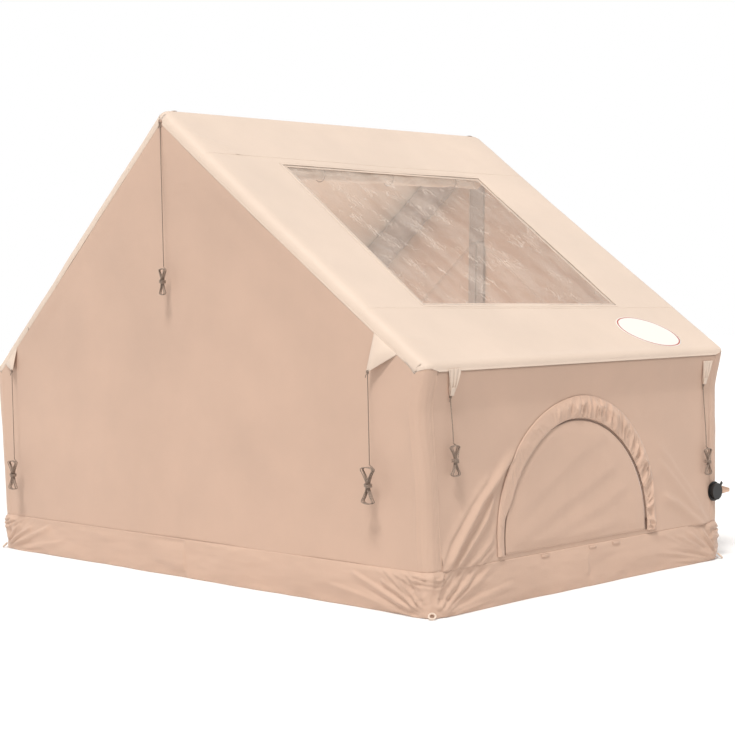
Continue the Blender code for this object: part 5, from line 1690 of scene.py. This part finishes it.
def hank_loops(height, width, loops):
    half_height = (height - ROPE) / 2
    half_width = (width - ROPE) / 2
    middle = -LEAD - half_height
    points = [(0.0, 0.0, 0.0), (0.0, 0.0, -ROPE)]
    halves = range(2 * loops + 1)
    angles = [half * math.pi + math.radians(angle) for half in halves for angle in HALF_LOOP_ANGLES]
    for angle in angles[1:len(angles) - LAST_ANGLES_LEFT_OFF]:
        turn = angle / (2 * math.pi)
        sway = 1 - HANK_SWAY_SHARE * math.cos(HANK_SWAY_RATE * turn)
        flare = FLARE_SHARE * math.sin(angle) * abs(math.cos(angle)) ** 3
        across = WAIST_HALF * math.sin(angle) + half_width * flare * sway
        whole = math.floor(turn)
        layer = whole + float(smooth((turn - whole - CLIMB_START_SHARE) / CLIMB_SHARE))
        points.append((across, layer * LAYER_PITCH, middle + half_height * math.cos(angle)))
    return points


def squared_off(share):
    return math.copysign(abs(share) ** WRAP_SQUARENESS, share)


def hank_wraps(height, loops):
    middle = -LEAD - (height - ROPE) / 2
    centre, half_out = wrap_depths(loops)
    half_across = WAIST_HALF + ROPE + WRAP_CLEAR_ACROSS
    top = middle + WRAP_PITCH * WRAPS / 2
    points = []
    for step in range(WRAPS * WRAP_POINTS + 1):
        angle = 2 * math.pi * step / WRAP_POINTS
        across = -squared_off(math.sin(angle))
        away = squared_off(math.cos(angle))
        points.append((half_across * across, centre + half_out * away, top - WRAP_PITCH * step / WRAP_POINTS))
    return points


def rounded(points, parts=3):
    """Smooth curve through the points, with more points between them."""
    points = np.asarray(points, float)
    padded = np.concatenate([2 * points[:1] - points[1:2], points, 2 * points[-1:] - points[-2:-1]])
    made = []
    for before, start, stop, after in zip(padded, padded[1:], padded[2:], padded[3:]):
        square = 2 * before - 5 * start + 4 * stop - after
        cube = 3 * start - before - 3 * stop + after
        for step in range(parts):
            t = step / parts
            made.append(0.5 * (2 * start + (stop - before) * t + square * t ** 2 + cube * t ** 3))
    made.append(points[-1])
    return np.array(made)


KNOT_TURNS = 3
KNOT_STEPS = 12


def make_knot(word, anchor, out, along, shift):
    """Knot at the tab's tip: three tight turns and a short tail."""
    loop = []
    for step in range(KNOT_TURNS * KNOT_STEPS + 1):
        turn = step / KNOT_STEPS
        angle = 2 * math.pi * step / KNOT_STEPS
        place = along * 0.0046 * math.cos(angle) + out * 0.0040 * math.sin(angle)
        loop.append(anchor + place + UP * (0.004 - 0.0042 * turn))
    loop.append(anchor - along * 0.006 + out * 0.003 - UP * 0.014)
    loop.append(anchor - along * 0.009 + out * 0.003 - UP * 0.024)
    return tube_along("knot_" + word, rounded(loop, 2) + shift, ROPE * 0.42, "rope", swollen=False)


def make_ropes():
    """Each guy rope with its hank and knot, and the tab, ear or strap that it hangs from."""
    spans = {"wall": BASE_DEPTH / 2, "gable": EAVE_WIDTH / 2, "ridge": 0.0}
    for word, kind, sign, place_share, tip_share, top_share, size in ROPE_SHARES:
        rise = RIDGE_HEIGHT if kind == "ridge" else EAVE_HEIGHT
        place = place_share * spans[kind]
        height = tip_share * rise
        if kind == "wall":
            height = pattern_height(height, sign)
            make_wall_tab(word, sign, place, height)
        elif kind == "gable":
            make_ear(word, sign, place, height)
        else:
            make_ridge_tab(word.split("_")[0], sign, height)
        anchor, out, along = rope_anchor(kind, sign, place, height)
        start = hank_start(kind, sign, anchor, top_share * rise, size)
        run = hanging_run(anchor - UP * GAP, start + UP * GAP)
        local = hank_loops(*size) + hank_wraps(size[0], size[2])
        spun = [start + along * a + out * o + UP * u for a, o, u in local]
        shift = swell(anchor) - anchor if kind != "gable" else np.zeros(3)
        line = np.concatenate([run[:-1], rounded(spun)]) + shift
        rope = tube_along("guy_rope_" + word, line, ROPE / 2, "rope", swollen=False,
                          replaces=["rope_" + word, "hank_" + word])
        knot = make_knot(word, anchor, out, along, shift)


def make_valve_flap():
    """Tapered flap of cloth over the valve, slightly curled."""
    low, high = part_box("valve_flap")
    rows = np.linspace(0, 1, 16)
    shares = np.linspace(-1, 1, 15)
    length = math.hypot(high.x - low.x, high.y - low.y)
    half_height = (high.z - low.z) / 2
    direction = np.array((high.x - low.x, high.y - low.y, 0.0)) / length
    side = np.array((direction[1], -direction[0], 0.0))
    centre = np.array((low.x, low.y, (low.z + high.z) / 2))
    half = half_height * (1 - 0.78 * rows)
    points = centre + direction * (length * rows)[:, None, None]
    points = points + UP * (half[:, None] * shares[None])[..., None]
    curl = 0.006 * np.sin(rows * 2.6)[:, None] + 0.004 * (shares ** 2)[None] * rows[:, None]
    points = points + side * curl[..., None]
    uv = pairs((length * rows)[:, None], half_height * shares[None])
    cloth_piece("valve_flap_cloth", points, uv, "cloth", body="flap", replaces=["valve_flap"],
                centre=points.mean((0, 1)) + side, thickness=TAB_SHEET)


HARD_PARTS = {
    "valve": ("valve_body", "valve_cap", "valve_plunger"),
    "slider": ("window_slider_right", "window_slider_left", "door_slider"),
}


def dress_hard_parts():
    for look, nodes in HARD_PARTS.items():
        for node in nodes:
            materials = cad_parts[node].data.materials
            materials.clear()
            materials.append(LOOKS[look])


# Stage, light and camera
CAMERA_PLACE = (5.791, -5.381, 1.190)
CAMERA_YAW = math.radians(46.106)
CAMERA_PITCH = math.radians(2.103)
CAMERA_ROLL = math.radians(-1.241)
FOCAL_PIXELS = 1629.24
IMAGE_PIXELS = 735
SENSOR = 36.0
SUN_DIRECTION = (0.25, -0.45, 0.86)
SUN_POWER = 2.4
SUN_ANGLE = math.radians(14)
SKY_POWER = 0.56
INNER_GLOW = 22.0
FLOOR_GLOW = 0.14
FLOOR_HALF = 40.0
FLOOR_COLOR = (0.86, 0.86, 0.86, 1)
SKY_COLOR = (1, 0.985, 0.97, 1)
WHITE = (1, 1, 1, 1)


def make_floor():
    """Pale floor, which glows a little for the camera only."""
    corners = [(x * FLOOR_HALF, y * FLOOR_HALF, 0) for x, y in ((-1, -1), (1, -1), (1, 1), (-1, 1))]
    mesh = bpy.data.meshes.new("floor")
    mesh.from_pydata(corners, [], [(0, 1, 2, 3)])
    floor = new_object("floor", mesh)
    floor.location.z = -0.001
    look = new_look("pale_floor")
    seen = look.add("LightPath", "Is Camera Ray")
    mesh.materials.append(look.finished({
        "Base Color": FLOOR_COLOR,
        "Roughness": 0.9,
        "Emission Color": WHITE,
        "Emission Strength": look.combined("MULTIPLY", seen, FLOOR_GLOW),
    }))


def make_sky():
    """Soft light from all round, which is seen as plain white, also through the film and in mirrors."""
    world = bpy.context.scene.world or bpy.data.worlds.new("studio")
    bpy.context.scene.world = world
    sky = Graph(world)
    sky.tree.nodes.clear()
    soft = sky.add("Background", 0, {"Color": SKY_COLOR, "Strength": SKY_POWER})
    white = sky.add("Background", 0, {"Color": WHITE, "Strength": 1.0})
    rays = [sky.add("LightPath", f"Is {kind} Ray") for kind in ("Camera", "Transmission", "Glossy")]
    seen = sky.combined("MAXIMUM", sky.combined("MAXIMUM", rays[0], rays[1]), rays[2])
    shown = sky.add("MixShader", 0, {"Fac": seen, 1: soft, 2: white})
    sky.feed(sky.tree.nodes.new("ShaderNodeOutputWorld"), {"Surface": shown})


def make_lights():
    lamp = bpy.data.lights.new("sun", "SUN")
    lamp.energy = SUN_POWER
    lamp.angle = SUN_ANGLE
    lamp.color = (1.0, 0.98, 0.95)
    sun = new_object("sun", lamp)
    sun.rotation_mode = "QUATERNION"
    sun.rotation_quaternion = Vector(SUN_DIRECTION).to_track_quat("Z", "Y")
    bulb = bpy.data.lights.new("inner_glow", "POINT")
    bulb.energy = INNER_GLOW
    bulb.shadow_soft_size = 0.35
    bulb.color = (1.0, 0.93, 0.86)
    new_object("inner_glow", bulb).location = (0.0, 0.0, 1.0)


def make_camera():
    yaw, pitch, roll = CAMERA_YAW, CAMERA_PITCH, CAMERA_ROLL
    forward = np.array((-math.sin(yaw) * math.cos(pitch), math.cos(yaw) * math.cos(pitch), -math.sin(pitch)))
    right = np.array((math.cos(yaw), math.sin(yaw), 0.0))
    up = np.cross(right, forward)
    level = right * math.cos(roll) + up * math.sin(roll)
    upright = -right * math.sin(roll) + up * math.cos(roll)
    lens = bpy.data.cameras.new("camera")
    lens.sensor_width = SENSOR
    lens.lens = FOCAL_PIXELS / IMAGE_PIXELS * SENSOR
    camera = new_object("camera", lens)
    axes = np.stack([level, upright, -forward, CAMERA_PLACE], axis=1)
    camera.matrix_world = Matrix([*axes.tolist(), (0, 0, 0, 1)])
    bpy.context.scene.camera = camera


def main():
    bpy.context.scene.view_settings.view_transform = "Standard"
    make_camera()
    make_floor()
    make_sky()
    make_lights()
    make_ropes()
    for side, word in SIDES:
        make_roof(side, word)
        make_wall(side, word)
        make_window(side, word)
    for end, word in ENDS:
        make_gable(end, word)
    make_door()
    make_inner_band()
    make_skirt()
    make_peg_loops()
    make_skylight()
    make_tubes()
    make_ground_sheet()
    make_patch()
    make_valve_flap()
    dress_hard_parts()


main()
